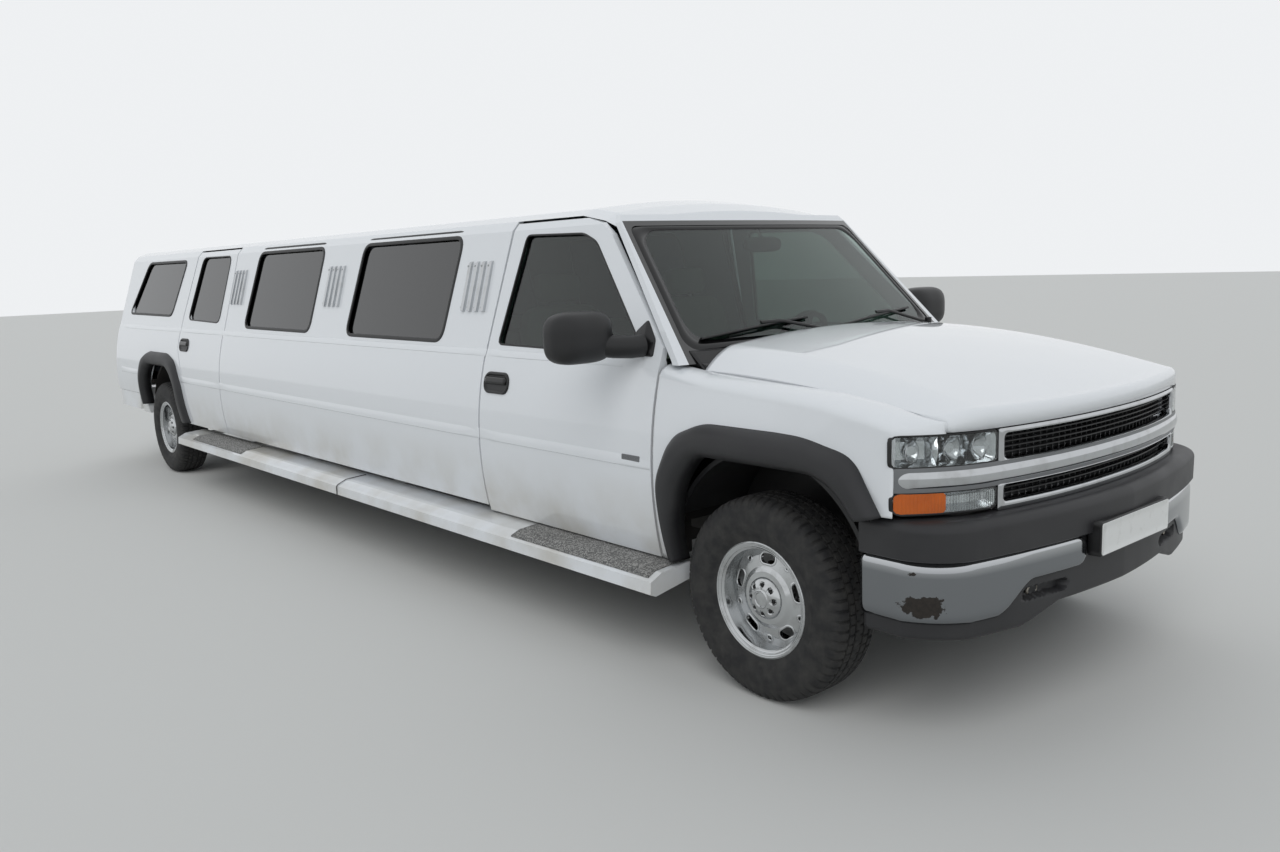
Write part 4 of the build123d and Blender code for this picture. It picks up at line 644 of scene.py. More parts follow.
def wheel_nuts(place, side):
    """Eight six-sided nuts with chamfered tips, deep in the cap's recesses, and the valve by the rim."""
    grids = []
    profile = [(0.0075, 0.070), (0.0075, 0.0835), (0.0060, 0.0850), (0.0001, 0.0852)]
    for k in range(NUT_COUNT):
        at = 2 * math.pi * k / NUT_COUNT
        spot = (place[0] + NUT_RING * math.cos(at), place[1], place[2] + NUT_RING * math.sin(at))
        grids.append((turned(profile, spot, side, 6), True, False))
    at = math.radians(VALVE_ANGLE)
    spot = (place[0] + VALVE_RING * math.cos(at), place[1], place[2] + VALVE_RING * math.sin(at))
    valve = [(0.0055, 0.030), (0.0055, 0.044), (0.0035, 0.047),
             (0.0035, 0.066), (0.0045, 0.0665), (0.0001, 0.070)]
    grids.append((turned(valve, spot, side, 12), True, False))
    return grids


for end, x in (("front", X_FRONT), ("rear", X_REAR)):
    for name, side in SIDES:
        place = (x, side * Y_WHEEL, TYRE_RADIUS)
        body = f"wheel_{end}_{name}"
        tyre = piece(f"treaded_tyre_{end}_{name}", [(tyre_grid(place, side), True, True)], TYRE, body, 40.0)
        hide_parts(f"tyre_{end}_{name}")
        piece(f"wheel_trim_{end}_{name}", wheel_trim(place, side), ALUMINIUM, body)
        piece(f"wheel_nuts_{end}_{name}", wheel_nuts(place, side), NUT_STEEL, body, 25.0)


# Headlamps and turn lamps: lenses on the front curve, bright bowls behind them, and gaskets round them
HEADLAMP_BOX, TURN_BOX = (0.660, 0.979, 0.9625, 1.0610), (0.660, 0.972, 0.8105, 0.8770)
BOWL_DEPTH = 0.052
RIB_PITCH, RIB_HEIGHT = 0.009, 0.0012
DISH_RISE = 0.030
# Each dish: its place across, its height, its radius and its depth
DISHES = ((0.712, 1.012, 0.044, 0.050), (0.806, 1.012, 0.045, 0.052), (0.918, 1.010, 0.036, 0.050))
AMBER_START = 0.842
FIN_Y, FIN_LOW, FIN_HIGH, FIN_DEPTH = 0.866, 0.966, 1.058, 0.045
GASKET = [(-0.0035, -0.012), (-0.0035, 0.0005), (0.0, 0.0015), (0.0035, 0.0005), (0.0035, -0.012)]


def lamp_sheet(box, side, radius, back, low=None, high=None, ribs=0.0, columns=120):
    """A rounded rectangle on the front curve, row by row: each row's half width is cut by a quarter circle at
    the corners; its depth goes from the first to the second within 20 mm of the edge, and ribs are a sine."""
    y_low, y_high, z_low, z_high = box
    y_low, y_high = low or y_low, high or y_high
    half_y, half_z = (y_high - y_low) / 2, (z_high - z_low) / 2
    v = np.sin(np.linspace(-1, 1, 28) * math.pi / 2)[:, None]
    u = np.linspace(-1, 1, columns)[None]
    over = np.clip(np.abs(v) * half_z - (half_z - radius), 0, radius)
    half_row = half_y - radius + np.sqrt(np.clip(radius**2 - over**2, 1e-8, None))
    y, z = (y_low + y_high) / 2 + half_row * u, (z_low + z_high) / 2 + half_z * v
    edge = np.minimum(half_z * (1 - np.abs(v)), half_row * (1 - np.abs(u)))
    deep = np.interp(edge, (0, 0.02), back)
    wave = ribs * np.sin(2 * math.pi * y / RIB_PITCH) * np.clip(edge / 0.004, 0, 1)
    return nose(side * y, z, wave - deep), False, False


def reflector(y, z, radius, side, depth):
    """A dish: its hollow grows with the square of the distance from its rim's middle."""
    ring = np.linspace(0.02, 1, 10)[:, None]
    angle = circle(40)[None]
    across = side * y + radius * ring * np.cos(angle)
    reach = np.interp(y, PLAN[:, 1], PLAN[:, 0])
    x = X_FRONT + reach - depth + DISH_RISE * ring**2
    return points(x, across, z + radius * ring * np.sin(angle)), False, True


lens_grids, bowl_grids, dish_grids, fin_grids = [], [], [], []
clear_grids, amber_grids, gasket_grids = [], [], []
for side in (-1, 1):
    lens_grids.append(lamp_sheet(HEADLAMP_BOX, side, 0.018, (0.0, 0.0), columns=60))
    bowl_grids.append(lamp_sheet(HEADLAMP_BOX, side, 0.018, (0.004, BOWL_DEPTH), columns=48))
    bowl_grids.append(lamp_sheet(TURN_BOX, side, 0.014, (0.004, 0.036), columns=48))
    dish_grids.extend(reflector(y, z, radius, side, depth) for y, z, radius, depth in DISHES)
    clear_grids.append(lamp_sheet(TURN_BOX, side, 0.012, (0.001, 0.001), high=AMBER_START, ribs=RIB_HEIGHT))
    ribbed = {"low": AMBER_START, "ribs": RIB_HEIGHT / 2}
    amber_grids.append(lamp_sheet(TURN_BOX, side, 0.014, (0.001, 0.001), **ribbed))
    for box in (HEADLAMP_BOX, TURN_BOX):
        outline = spaced(box_outline(box[1] - box[0] + 0.005, box[3] - box[2] + 0.005, 0.02), 0.012)
        y, z = outline[:, 0] + (box[0] + box[1]) / 2, outline[:, 1] + (box[2] + box[3]) / 2
        gasket_grids.append((carried(nose(side * y, z), (1.0, 0.0, 0.0), GASKET), True, True))
    fin = nose(side * FIN_Y, np.array(((FIN_LOW, FIN_HIGH),)), np.array(((0,), (-FIN_DEPTH,))))
    fin_grids.append((fin, False, False))

headlamp_lens = piece("headlamp_lenses", lens_grids, CLEAR_LENS, "body", wall_depth=0.003)
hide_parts("headlamps")
turn_lens = piece("turn_lamp_clear_lenses", clear_grids, CLEAR_LENS, "body", wall_depth=0.002)
piece("turn_lamp_amber_lenses", amber_grids, AMBER_LENS, "body", wall_depth=0.002)
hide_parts("turn_lamps")
piece("lamp_bowls", bowl_grids, BRIGHT_REFLECTOR, "body", wall_depth=0.001)
piece("lamp_dishes", dish_grids, CHROME, "body", wall_depth=0.001)
piece("lamp_dividers", fin_grids, BRIGHT_REFLECTOR, "body", wall_depth=0.003)
piece("lamp_gaskets", gasket_grids, SEAL, "body")


# Hood and front fenders: one seam runs along both, from the door to the corner over the lamps
HOOD_REAR, HOOD_HALF, HOOD_SHOULDER, SEAM_GAP = -0.362, 0.855, 0.700, 0.006
HOOD_STATIONS = np.array(
    (
        # x from the axle, seam height, height of the shoulder line, centre height
        (-0.362, 1.214, 1.304, 1.340),
        (0.056, 1.187, 1.268, 1.300),
        (0.350, 1.171, 1.232, 1.258),
        (0.600, 1.128, 1.178, 1.200),
        (0.780, 1.090, 1.122, 1.142),
        (0.960, 1.074, 1.080, 1.092),
    )
)
SEAM_LINE = np.array(
    ((-0.527, 1.236), (-0.300, 1.208), (0.056, 1.187), (0.320, 1.174),
     (0.498, 1.149), (0.640, 1.117), (0.780, 1.090))
)
HOOD_CORNER = ((0.600, 0.855), (0.668, 0.851), (0.712, 0.835))
LAMP_TOP = 1.064
HOOD_LIP, HOOD_FOOT = 0.034, 1.070


def hood_grid():
    """Along each line from the rear edge to the front outline: the crown falls with the square of the place
    across, and the shoulder falls on to the seam; the front edge rolls down in a quarter circle."""
    across = np.sin(np.linspace(-1, 1, 121) * math.pi / 2) * HOOD_HALF
    bend = arc(*HOOD_CORNER)[::-1]
    plan = PLAN[PLAN[:, 1] < bend[0, 1] - 0.01]
    outline = np.concatenate((plan, bend))
    reach = np.interp(np.abs(across), outline[:, 1], outline[:, 0]) - HOOD_LIP
    along = np.linspace(0, 1, 60)[:, None]
    x = HOOD_REAR + along * (reach[None] - HOOD_REAR)
    seam, shoulder, middle = (
        np.polyval(np.polyfit(HOOD_STATIONS[:, 0], HOOD_STATIONS[:, k], 3), x) for k in (1, 2, 3)
    )
    w = np.abs(across)[None]
    crown = middle - (middle - shoulder) * (w / HOOD_SHOULDER) ** 2
    t = np.clip((w - HOOD_SHOULDER) / (HOOD_HALF - HOOD_SHOULDER), 0, 1)
    z = np.where(w < HOOD_SHOULDER, crown, shoulder - (shoulder - seam) * (0.35 * t + 0.65 * t**2))
    turn = np.linspace(0, math.pi / 2, 8)[1:, None]
    lip_x = np.concatenate((x, x[-1:] + HOOD_LIP * np.sin(turn), x[-1:] + HOOD_LIP))
    lip_z = np.concatenate((z, z[-1:] - HOOD_LIP * (1 - np.cos(turn)), 0 * z[-1:] + HOOD_FOOT))
    top = points(X_FRONT + lip_x, across[None], lip_z)
    side = top[:, [0, -1]] * (1, 1, 0) + (0, 0, 1) * np.maximum(top[:, [0, -1], 2:] - 0.028, HOOD_FOOT)
    return np.concatenate((side[:, :1], top, side[:, 1:]), axis=1)


hood = piece("hood_panel", [(hood_grid(), False, False)], PAINT, "hood", 40.0, 0.010, (0, 0, 1))
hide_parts("hood")

FRONT_ARCH = np.array(
    ((-0.441, 0.450), (-0.440, 0.560), (-0.395, 0.770), (-0.290, 0.915),
     (0.300, 0.915), (0.420, 0.850), (0.455, 0.797))
)
FENDER_REAR, FENDER_TURN = -0.527, 0.200
ROUND_MOST, ROUND_SHARE, FADE_SPAN = 0.055, 0.85, (0.1, 0.58)


def fender_grid(side):
    """Along the plan line from the door to the lamp corner: a wall of the body's own section, from the arch
    or the lamp up, then an elliptic quarter round that blends from the wall's line to the seam line."""
    straight = np.stack((np.linspace(FENDER_REAR, FENDER_TURN, 90), np.full(90, 1.0)), axis=1)
    bend = arc((FENDER_TURN, 1.0), (0.420, 0.9935), FRONT_CORNER, 40)
    outer_side = np.concatenate((straight, bend[1:-1]))
    front = arc(FRONT_CORNER, FRONT_TURN, FRONT_EDGE, 60)
    front = front[front[:, 1] > HOOD_CORNER[2][1] + SEAM_GAP]
    corner = np.concatenate((bend[-1:], front[1:]))
    corner = spaced(corner, 0.010, closed=False)
    inner_corner = spaced(arc(*HOOD_CORNER, 60), 0.001, closed=False)
    pick = np.linspace(0, len(inner_corner) - 1, len(corner)).round().astype(int)
    grow = np.array((0.0, SEAM_GAP))
    inner_side = np.stack((outer_side[:, 0], np.full(len(outer_side), HOOD_HALF)), axis=1)
    inner = np.concatenate((inner_side, inner_corner[pick])) + grow
    outer = np.concatenate((outer_side, corner))
    seam = np.interp(inner[:, 0], SEAM_LINE[:, 0], SEAM_LINE[:, 1])
    low = np.interp(outer[:, 0], FRONT_ARCH[:, 0], FRONT_ARCH[:, 1])
    low = np.where(outer[:, 1] < FRONT_CORNER[1] - 0.001, LAMP_TOP, low)
    height = np.minimum(ROUND_MOST, ROUND_SHARE * (seam - LAMP_TOP))
    fade = np.interp(outer[:, 0], FADE_SPAN, (1.0, 0.0))
    up = np.linspace(0, 1, 34)[None]
    z_wall = low[:, None] + (seam - height - low)[:, None] * up
    inset = (1.0 - np.interp(z_wall, SKIN[:, 0], SKIN[:, 1])) * fade[:, None]
    wall_x = np.broadcast_to(outer[:, :1], z_wall.shape)
    wall_y = outer[:, 1:] - inset
    turn = np.linspace(0, math.pi / 2, 14)[None, 1:]
    blend = 1 - np.cos(turn)
    round_x = outer[:, :1] + (inner[:, :1] - outer[:, :1]) * blend
    round_y = wall_y[:, -1:] + (inner[:, 1:] - wall_y[:, -1:]) * blend
    round_z = (seam - height)[:, None] + height[:, None] * np.sin(turn)
    x = np.concatenate((wall_x, round_x, inner[:, :1]), axis=1)
    y = np.concatenate((wall_y, round_y, inner[:, 1:]), axis=1)
    z = np.concatenate((z_wall, round_z, seam[:, None] - 0.03), axis=1)
    return points(X_FRONT + x, side * y, z)


for name, side in SIDES:
    grids = [(fender_grid(side), False, False)]
    fender = piece(f"front_fender_{name}", grids, PAINT, "body", 40.0, 0.004, (0, side, 0.3))
    if side < 0:
        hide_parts("front_fenders")


# Dark carrier behind the grille and lamps
y, z = np.linspace(-0.975, 0.975, 80)[:, None], np.array((0.770, 0.940, 1.066))[None]
piece("nose_carrier", [(nose(y, z, -0.085), False, False)], BLACK, "body", 60.0, 0.004)


# Grille: bright surrounds round two openings, dark lattice in them, and the convex bar between them
SURROUNDS = (
    # outer half width, low, high; opening's half width, low, high, corner; slats
    ((0.655, 0.957, 1.066), (0.630, 0.963, 1.049, 0.020), 4),
    ((0.655, 0.794, 0.884), (0.630, 0.824, 0.878, 0.016), 2),
)
SLAT_BACK, RIB_STEP = 0.026, 0.035
BAR_LOW, BAR_HIGH, BAR_END, BAR_CROWN = 0.889, 0.951, 0.968, 0.017

surround_grids, lattice = [], []
for (outer_half, outer_low, outer_high), (half, low, high, radius), slats in SURROUNDS:
    outside = box_outline(2 * outer_half, outer_high - outer_low, 0.006, 6, 40)
    outside = outside + (0, (outer_high + outer_low) / 2)
    inside = box_outline(2 * half, high - low, radius, 6, 40) + (0, (high + low) / 2)
    share = np.array((0.0, 0.02, 0.3, 0.6, 0.9, 1.0, 1.0))[:, None, None]
    stand = np.array((-0.030, 0.001, 0.005, 0.006, 0.003, -0.002, -0.045))[:, None]
    ring = outside[None] * (1 - share) + inside[None] * share
    surround_grids.append((nose(ring[..., 0], ring[..., 1], stand), False, True))
    y = np.linspace(-half, half, 60)
    bar = [(-0.0020, 0.0), (-0.0020, -0.018), (0.0020, -0.018), (0.0020, 0.0)]
    for z in np.linspace(low, high, slats + 2)[1:-1]:
        slat = carried(nose(y, z, -SLAT_BACK), (1.0, 0.0, 0.0), bar, closed=False)
        lattice.append((slat, False, True))
    y = np.arange(-half + RIB_STEP / 2, half, RIB_STEP)
    blocks = slabs(nose(y, (low + high) / 2, -SLAT_BACK - 0.020), (0.008, 0.0015, (high - low) / 2))
    lattice.extend((block, False, True) for block in blocks)
surround = piece("grille_surround", surround_grids, CHROME, "body")
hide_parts("grille")
grille_lattice = piece("grille_lattice", lattice, BLACK, "body", 30.0)
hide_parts("grille_mesh")


def long_bar(end, low, high, crown, back):
    """A bar across the front: its face is a crown to the power 0.6 of the height, and its ends half round."""
    half, middle = (high - low) / 2, (high + low) / 2
    tip = end - half * (1 - np.sin(np.linspace(math.pi / 2, 0.03, 12)))
    y = np.concatenate((tip, np.linspace(end - half, half - end, 140)[1:-1], -tip[::-1]))
    taper = np.sqrt(np.clip(1 - (1 - np.clip((end - np.abs(y)) / half, 0, 1)) ** 2, 0.002, 1))[:, None]
    v = np.linspace(-1, 1, 21)[None]
    shape = crown * taper * (1 - v**2) ** 0.6
    return nose(y[:, None], middle + half * taper * v, shape + back)


piece("grille_bar", [(long_bar(BAR_END, BAR_LOW, BAR_HIGH, BAR_CROWN, -0.004), False, False)], CHROME, "body")
y, z = np.linspace(-0.974, 0.974, 140)[:, None], np.array((0.880, 0.8801, 0.889, 0.951, 0.9599, 0.960))[None]
stand = np.array((-0.040, 0.002, 0.004, 0.004, 0.002, -0.040))[None]
piece("grille_bar_recess", [(nose(y, z, stand), False, False)], GREY_BEZEL, "body", 50.0)


# Front bumper: a soft pad over two bright bars, with the air dam below and between them
def bumper_line(inset):
    """The bumper's line in plan from its right end to its left, drawn in by an inset: insets blend in
    straight proportion between the outer line and one a tenth of a metre in."""
    lines = []
    for d in (0.0, 0.1):
        edge = (0.828 - d, 0.825 - 0.3 * d)
        end = np.stack((np.linspace(0.470, 0.620, 10), np.full(10, 0.992 - d)), axis=1)
        side = np.concatenate((
            end,
            arc((0.620, 0.992 - d), (0.785 - d, 0.915 - d), edge, 40)[1:],
            arc(edge, (0.900 - d, 0.490), (0.950 - d, 0.0), 90)[1:],
        ))
        lines.append(np.concatenate((side * (1, -1), side[-2::-1])))
    share = np.asarray(inset)[..., None] / 0.1
    return lines[0][:, None] * (1 - share) + lines[1][:, None] * share


def bumper_grid(insets, heights):
    """Points on the bumper's plan line at each inset and height; heights may differ along the line."""
    plan = bumper_line(insets)
    return points(X_FRONT + plan[..., 0], plan[..., 1], heights)


PAD_ROUND = 0.036
roll = np.linspace(0, math.pi / 2, 10)
pad_inset = np.concatenate(((0.104, 0.020, 0.015), 0.050 - PAD_ROUND * np.cos(roll), (0.104,)))
pad_height = np.concatenate(((0.664, 0.664, 0.668), 0.757 + PAD_ROUND * np.sin(roll), (0.793,)))
pad_grid = bumper_grid(pad_inset, pad_height)
pad_piece = piece("bumper_pad_roll", [(pad_grid, False, True)], CHARCOAL, "body", 50.0)
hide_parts("bumper_pad")

# Two bars: their inset, their foot at the sides and its rise inwards, their top, and their rounded inner ends
METAL_INSET, METAL_FOOT, METAL_RISE, METAL_TOP = 0.024, 0.450, 0.102, 0.662
METAL_STOP, METAL_ROUND = 0.285, 0.035
line_y = np.abs(bumper_line(np.array((METAL_INSET,)))[:, 0, 1])
ease = np.clip((0.715 - line_y) / 0.17, 0, 1)
bar_low = (METAL_FOOT + METAL_RISE * ease**2 * (3 - 2 * ease))[:, None]
up = np.linspace(0, 1, 24)[None]
end_in = np.clip((line_y - METAL_STOP) / METAL_ROUND, 0, 1)
pinch = (1 - np.sqrt(np.clip(1 - (1 - end_in) ** 2, 0, 1)))[:, None] * METAL_ROUND
bar_z = bar_low + pinch + (METAL_TOP - bar_low - 2 * pinch) * up
bar_grid = bumper_grid(METAL_INSET + 0.020 * np.abs(2 * up - 1) ** 9, bar_z)
kept = line_y >= METAL_STOP
bars = [(bar_grid[kept & (side * bar_grid[:, 0, 1] > 0)], False, False) for side in (-1, 1)]
bumper_bars = piece("bumper_bars", bars, BUMPER_CHROME, "body", 50.0, 0.003)
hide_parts("front_bumper")

# Air dam: its foot at the sides and its rise inwards, its top, its inset, and the slots sunk into it
DAM_FOOT, DAM_RISE, DAM_TOP, DAM_INSET = 0.392, 0.054, 0.664, 0.044
SUNK_Y, SUNK_HALF, SUNK_Z, SUNK_TALL, SUNK_DEPTH = 0.475, 0.092, 0.502, 0.023, 0.034
dam_low = (DAM_FOOT + DAM_RISE * np.clip((0.586 - line_y) / 0.186, 0, 1))[:, None]
up = np.linspace(0, 1, 50)[None]
dam_z = dam_low + (DAM_TOP - dam_low) * up
slot_y = np.maximum(np.abs(line_y[:, None] - SUNK_Y) - SUNK_HALF, 0)
slot = SUNK_TALL - np.hypot(slot_y, dam_z - SUNK_Z)
sunk = SUNK_DEPTH * np.clip(slot / 0.006, 0, 1)
dam_grid = bumper_grid(DAM_INSET + sunk + 0.012 * np.clip(1 - up / 0.05, 0, 1) ** 2, dam_z)
dam = piece("air_dam_panel", [(dam_grid, False, False)], CHARCOAL, "body", 50.0, 0.004)
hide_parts("air_dam")

HOOK_PLACE, HOOK_REACH, HOOK_RADIUS = (X_FRONT + 0.822, 0.50, 0.500), (0.030, 0.017), 0.006
turn = np.linspace(math.radians(-40), math.radians(200), 24)
hooks = []
for side in (-1, 1):
    across = side * HOOK_PLACE[1] + HOOK_REACH[0] * np.cos(turn)
    hook_path = points(HOOK_PLACE[0], across, HOOK_PLACE[2] + HOOK_REACH[1] * np.sin(turn))
    hooks.append(rod(hook_path, (1.0, 0.0, 0.0), HOOK_RADIUS))
piece("tow_hooks", hooks, STEEL, "body")


# Number plate: a blank pressed sheet with a raised rim, on its dark holder
PLATE_Z, PLATE_SIZE, HOLDER_SIZE = 0.644, (0.518, 0.112), (0.530, 0.124)
HOLDER_STEPS = ((0.0, -0.050), (0.0, -0.006), (0.003, -0.0035), (0.061, -0.0035))
PLATE_STEPS = ((0.0, -0.0035), (0.0002, -0.0008), (0.004, -0.0006), (0.0055, -0.0014),
               (0.030, -0.0014), (0.0555, -0.0014))
y, z, stand = stepped(HOLDER_SIZE, 0.010, HOLDER_STEPS)
holder = points(X_NOSE + stand, y, z + PLATE_Z)
piece("number_plate_holder", [(holder, False, True)], BLACK, "body", 50.0)
y, z, stand = stepped(PLATE_SIZE, 0.009, PLATE_STEPS)
plate = points(X_NOSE + stand, y, z + PLATE_Z)
piece("number_plate_blank", [(plate, False, True)], PLATE_TIN, "body", 50.0)


# Wheel flares: a band between the outer line and the arch, rolled out from the body side
FLARES = {
    "front": (
        X_FRONT,
        [(-0.462, 0.455), (-0.505, 0.790), (-0.420, 0.965), (-0.250, 1.030), (0.250, 1.030), (0.450, 0.985),
         (0.572, 0.800)],
        [(-0.425, 0.455), (-0.430, 0.590), (-0.385, 0.770), (-0.285, 0.905), (0.295, 0.905), (0.410, 0.850),
         (0.470, 0.775)],
    ),
    "rear": (
        X_REAR,
        [(-0.500, 0.560), (-0.505, 0.820), (-0.420, 0.975), (-0.250, 1.035), (0.250, 1.035), (0.440, 0.975),
         (0.575, 0.780), (0.620, 0.480)],
        [(-0.440, 0.560), (-0.440, 0.745), (-0.375, 0.850), (-0.290, 0.925), (0.235, 0.925), (0.350, 0.865),
         (0.440, 0.780), (0.462, 0.480)],
    ),
}
FLARE_PROUD, FLARE_LIP = 0.038, 0.055
for end, (axle, outer, inner) in FLARES.items():
    for name, side in SIDES:
        paths = []
        for line in (outer, inner):
            bends = np.concatenate((line[:1], rounded(line, 0.06)[8:-8], line[-1:]))
            paths.append(spaced(bends, 0.010, closed=False, count=110))
        t = np.linspace(0, 1, 14)[None, :, None]
        spread = paths[0][:, None] * (1 - t) + paths[1][:, None] * t
        proud = FLARE_PROUD * (1 - np.abs(2 * t[..., 0] - 1) ** 3.5)
        half = np.interp(spread[..., 1], SKIN[:, 0], SKIN[:, 1])
        grid = points(axle + spread[..., 0], side * (half + proud), spread[..., 1])
        lip = grid[:, -1:] - np.array((0, side * FLARE_LIP, 0))
        flare = np.concatenate((grid[:, :1] - np.array((0, side * 0.006, 0)), grid, lip), axis=1)
        band = piece(f"wheel_flare_{end}_{name}", [(flare, False, False)], CHARCOAL, "body", 50.0, 0.003)
        if end == "front" and side < 0:
            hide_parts("wheel_flares")


# Door mirrors: a rounded head on a short arm, with a sail in the window's front corner
MIRROR_X, MIRROR_Y, MIRROR_Z = X_FRONT - 0.745, 1.172, 1.352
MIRROR_HALF = (0.078, 0.150, 0.104)
MIRROR_BACK = MIRROR_X - MIRROR_HALF[0] * 0.82
SAIL = np.array(((-0.716, 1.262), (-0.590, 1.262), (-0.590, 1.330), (-0.655, 1.408), (-0.716, 1.360)))
ARM = np.array(
    ((-0.650, 0.925, 1.305), (-0.662, 0.975, 1.303), (-0.695, 1.045, 1.308), (-0.735, 1.120, 1.322))
)
ARM_RADIUS = 0.046


def swollen(place, half, square, rows=40, columns=64):
    """A closed rounded block: a sphere's angles with each sine and cosine raised to a power below one."""
    tall = np.linspace(-math.pi / 2, math.pi / 2, rows)[:, None]
    round_about = circle(columns)[None]
    c, s = np.cos(tall), np.sin(tall)
    parts = (c * np.cos(round_about), c * np.sin(round_about), s)
    lengths = sum(np.abs(p) ** (2 / square) for p in parts) ** (square / 2)
    return np.stack([place[k] + half[k] * parts[k] / lengths for k in range(3)], axis=-1)


for name, side in SIDES:
    head = swollen((MIRROR_X, side * MIRROR_Y, MIRROR_Z), MIRROR_HALF, 0.56)
    taper = np.clip((head[..., 0] - MIRROR_X) / MIRROR_HALF[0], 0, 1)
    head[..., 1] = side * MIRROR_Y + (head[..., 1] - side * MIRROR_Y) * (1 - 0.20 * taper**2)
    head[..., 2] = MIRROR_Z + (head[..., 2] - MIRROR_Z) * (1 - 0.22 * taper**2)
    head[..., 0] = np.maximum(head[..., 0], MIRROR_BACK)
    middle, edge = SAIL.mean(axis=0), rounded(SAIL, 0.012)
    sail_rings = np.stack([middle + (edge - middle) * share for share in (1, 1, 0.94, 0.01)])
    stand = np.array((-0.012, 0.004, 0.009, 0.010))[:, None]
    sail_grid = wall(X_FRONT + sail_rings[..., 0], sail_rings[..., 1], side, stand)
    arm = rod(ARM * (1, side, 1) + (X_FRONT, 0, 0), (0.0, 0.0, 1.0), ARM_RADIUS, count=20)
    grids = [(head, False, True), (sail_grid, False, True), arm]
    shell = piece(f"mirror_shell_{name}", grids, BLACK, f"front_door_{name}", 50.0)
    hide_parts(f"door_mirror_{name}")


# Side windows: rubber frames round their rounded outlines, on the leaning upper wall
WINDOWS = {
    "window_a": ([(-3.380, 1.270), (-2.249, 1.267), (-2.202, 1.806), (-3.325, 1.806)], 0.075, "body"),
    "window_b": ([(-5.020, 1.278), (-3.899, 1.273), (-3.868, 1.808), (-4.952, 1.808)], 0.075, "body"),
    "quarter": ([(-7.850, 1.342), (-6.660, 1.335), (-6.500, 1.790), (-7.530, 1.794)], 0.075, "body"),
    "rear_door": ([(-6.235, 1.315), (-5.535, 1.301), (-5.515, 1.800), (-6.127, 1.803)], 0.062, "rear_door"),
    "front_door": (
        [(-1.720, 1.273), (-0.700, 1.262), (-0.700, 1.330), (-1.087, 1.738), (-1.190, 1.778),
         (-1.631, 1.788)],
        0.030, "front_door",
    ),
}
LEAN_RISE, LEAN_IN = 0.562, 0.157
WIDE_FRAME = [(-0.016, -0.002), (-0.015, 0.004), (-0.008, 0.006), (0.002, 0.004), (0.010, -0.006),
              (0.034, -0.0095), (0.036, -0.0135), (-0.002, -0.0135)]
SLIM_FRAME = [(-0.007, -0.002), (-0.006, 0.003), (0.0, 0.004), (0.006, -0.004), (0.016, -0.0095),
              (0.018, -0.0135), (-0.001, -0.0135)]
OUTWARDS = np.array((0.0, LEAN_RISE, LEAN_IN)) / math.hypot(LEAN_RISE, LEAN_IN)


def rider(body, name):
    """The body that a side's piece rides on: the root, or that side's own door."""
    return body if body == "body" else f"{body}_{name}"


for window, (corners, radius, body) in WINDOWS.items():
    outline = spaced(rounded(corners, radius), 0.02)
    for name, side in SIDES:
        path = wall(X_FRONT + outline[:, 0], outline[:, 1], side)
        profile = np.array(WIDE_FRAME if body == "body" else SLIM_FRAME) * (side, 1)
        frame_grid = carried(path, OUTWARDS * (1, side, 1), profile)
        piece(f"{window}_frame_{name}", [(frame_grid, True, True)], SEAL, rider(body, name))


# Door handles: an oval bezel round a shallow dark cup, with a bar across it
HANDLES = {"front_door": (-1.672, 1.094), "rear_door": (-6.212, 1.117)}
BEZEL_SIZE, BEZEL_RADIUS = (0.212, 0.104), 0.046
BEZEL_STEPS = ((0.0, -0.002), (0.001, 0.004), (0.004, 0.008), (0.009, 0.009), (0.014, 0.006),
               (0.018, 0.0022), (0.030, 0.0016), (0.0515, 0.0016))
PULL_SIZE, PULL_RADIUS, PULL_RISE = (0.178, 0.036), 0.017, 0.012
PULL_STEPS = ((0.0, 0.002), (0.0005, 0.010), (0.004, 0.0145), (0.009, 0.0165), (0.0175, 0.0170))
for door, (x, z) in HANDLES.items():
    for name, side in SIDES:
        across, up, stand = stepped(BEZEL_SIZE, BEZEL_RADIUS, BEZEL_STEPS)
        bezel = wall(X_FRONT + x + across, z + up, side, stand)
        piece(f"{door}_handle_bezel_{name}", [(bezel, False, True)], BLACK, f"{door}_{name}")
        across, up, stand = stepped(PULL_SIZE, PULL_RADIUS, PULL_STEPS)
        bar = wall(X_FRONT + x + across, z + PULL_RISE + up, side, stand)
        piece(f"{door}_handle_bar_{name}", [(bar, False, True)], GLOSS_BLACK, f"{door}_{name}")


# Small blank badge plates low on the front doors
BADGE_X, BADGE_Z, BADGE_SIZE = X_FRONT - 0.662, 0.852, (0.112, 0.024)
BADGE_STEPS = ((0.0, -0.001), (0.0002, 0.002), (0.0012, 0.003), (0.0119, 0.003))
for name, side in SIDES:
    across, up, stand = stepped(BADGE_SIZE, 0.004, BADGE_STEPS)
    badge = wall(BADGE_X + across, BADGE_Z + up, side, stand)
    piece(f"door_badge_blank_{name}", [(badge, False, True)], GREY_BEZEL, f"front_door_{name}")


# Mirror glass in the back of each mirror head, slightly convex
GLASS_SIZE, GLASS_RADIUS = (0.250, 0.165), 0.052
GLASS_STEPS = ((0.0, 0.004), (0.0005, 0.0), (0.01, -0.0015), (0.03, -0.002), (0.06, -0.0025), (0.082, -0.003))
for name, side in SIDES:
    across, up, stand = stepped(GLASS_SIZE, GLASS_RADIUS, GLASS_STEPS)
    glass_grid = points(MIRROR_BACK + stand, side * MIRROR_Y + across, MIRROR_Z + up)
    piece(f"mirror_glass_{name}", [(glass_grid, False, True)], SILVERED, f"front_door_{name}")


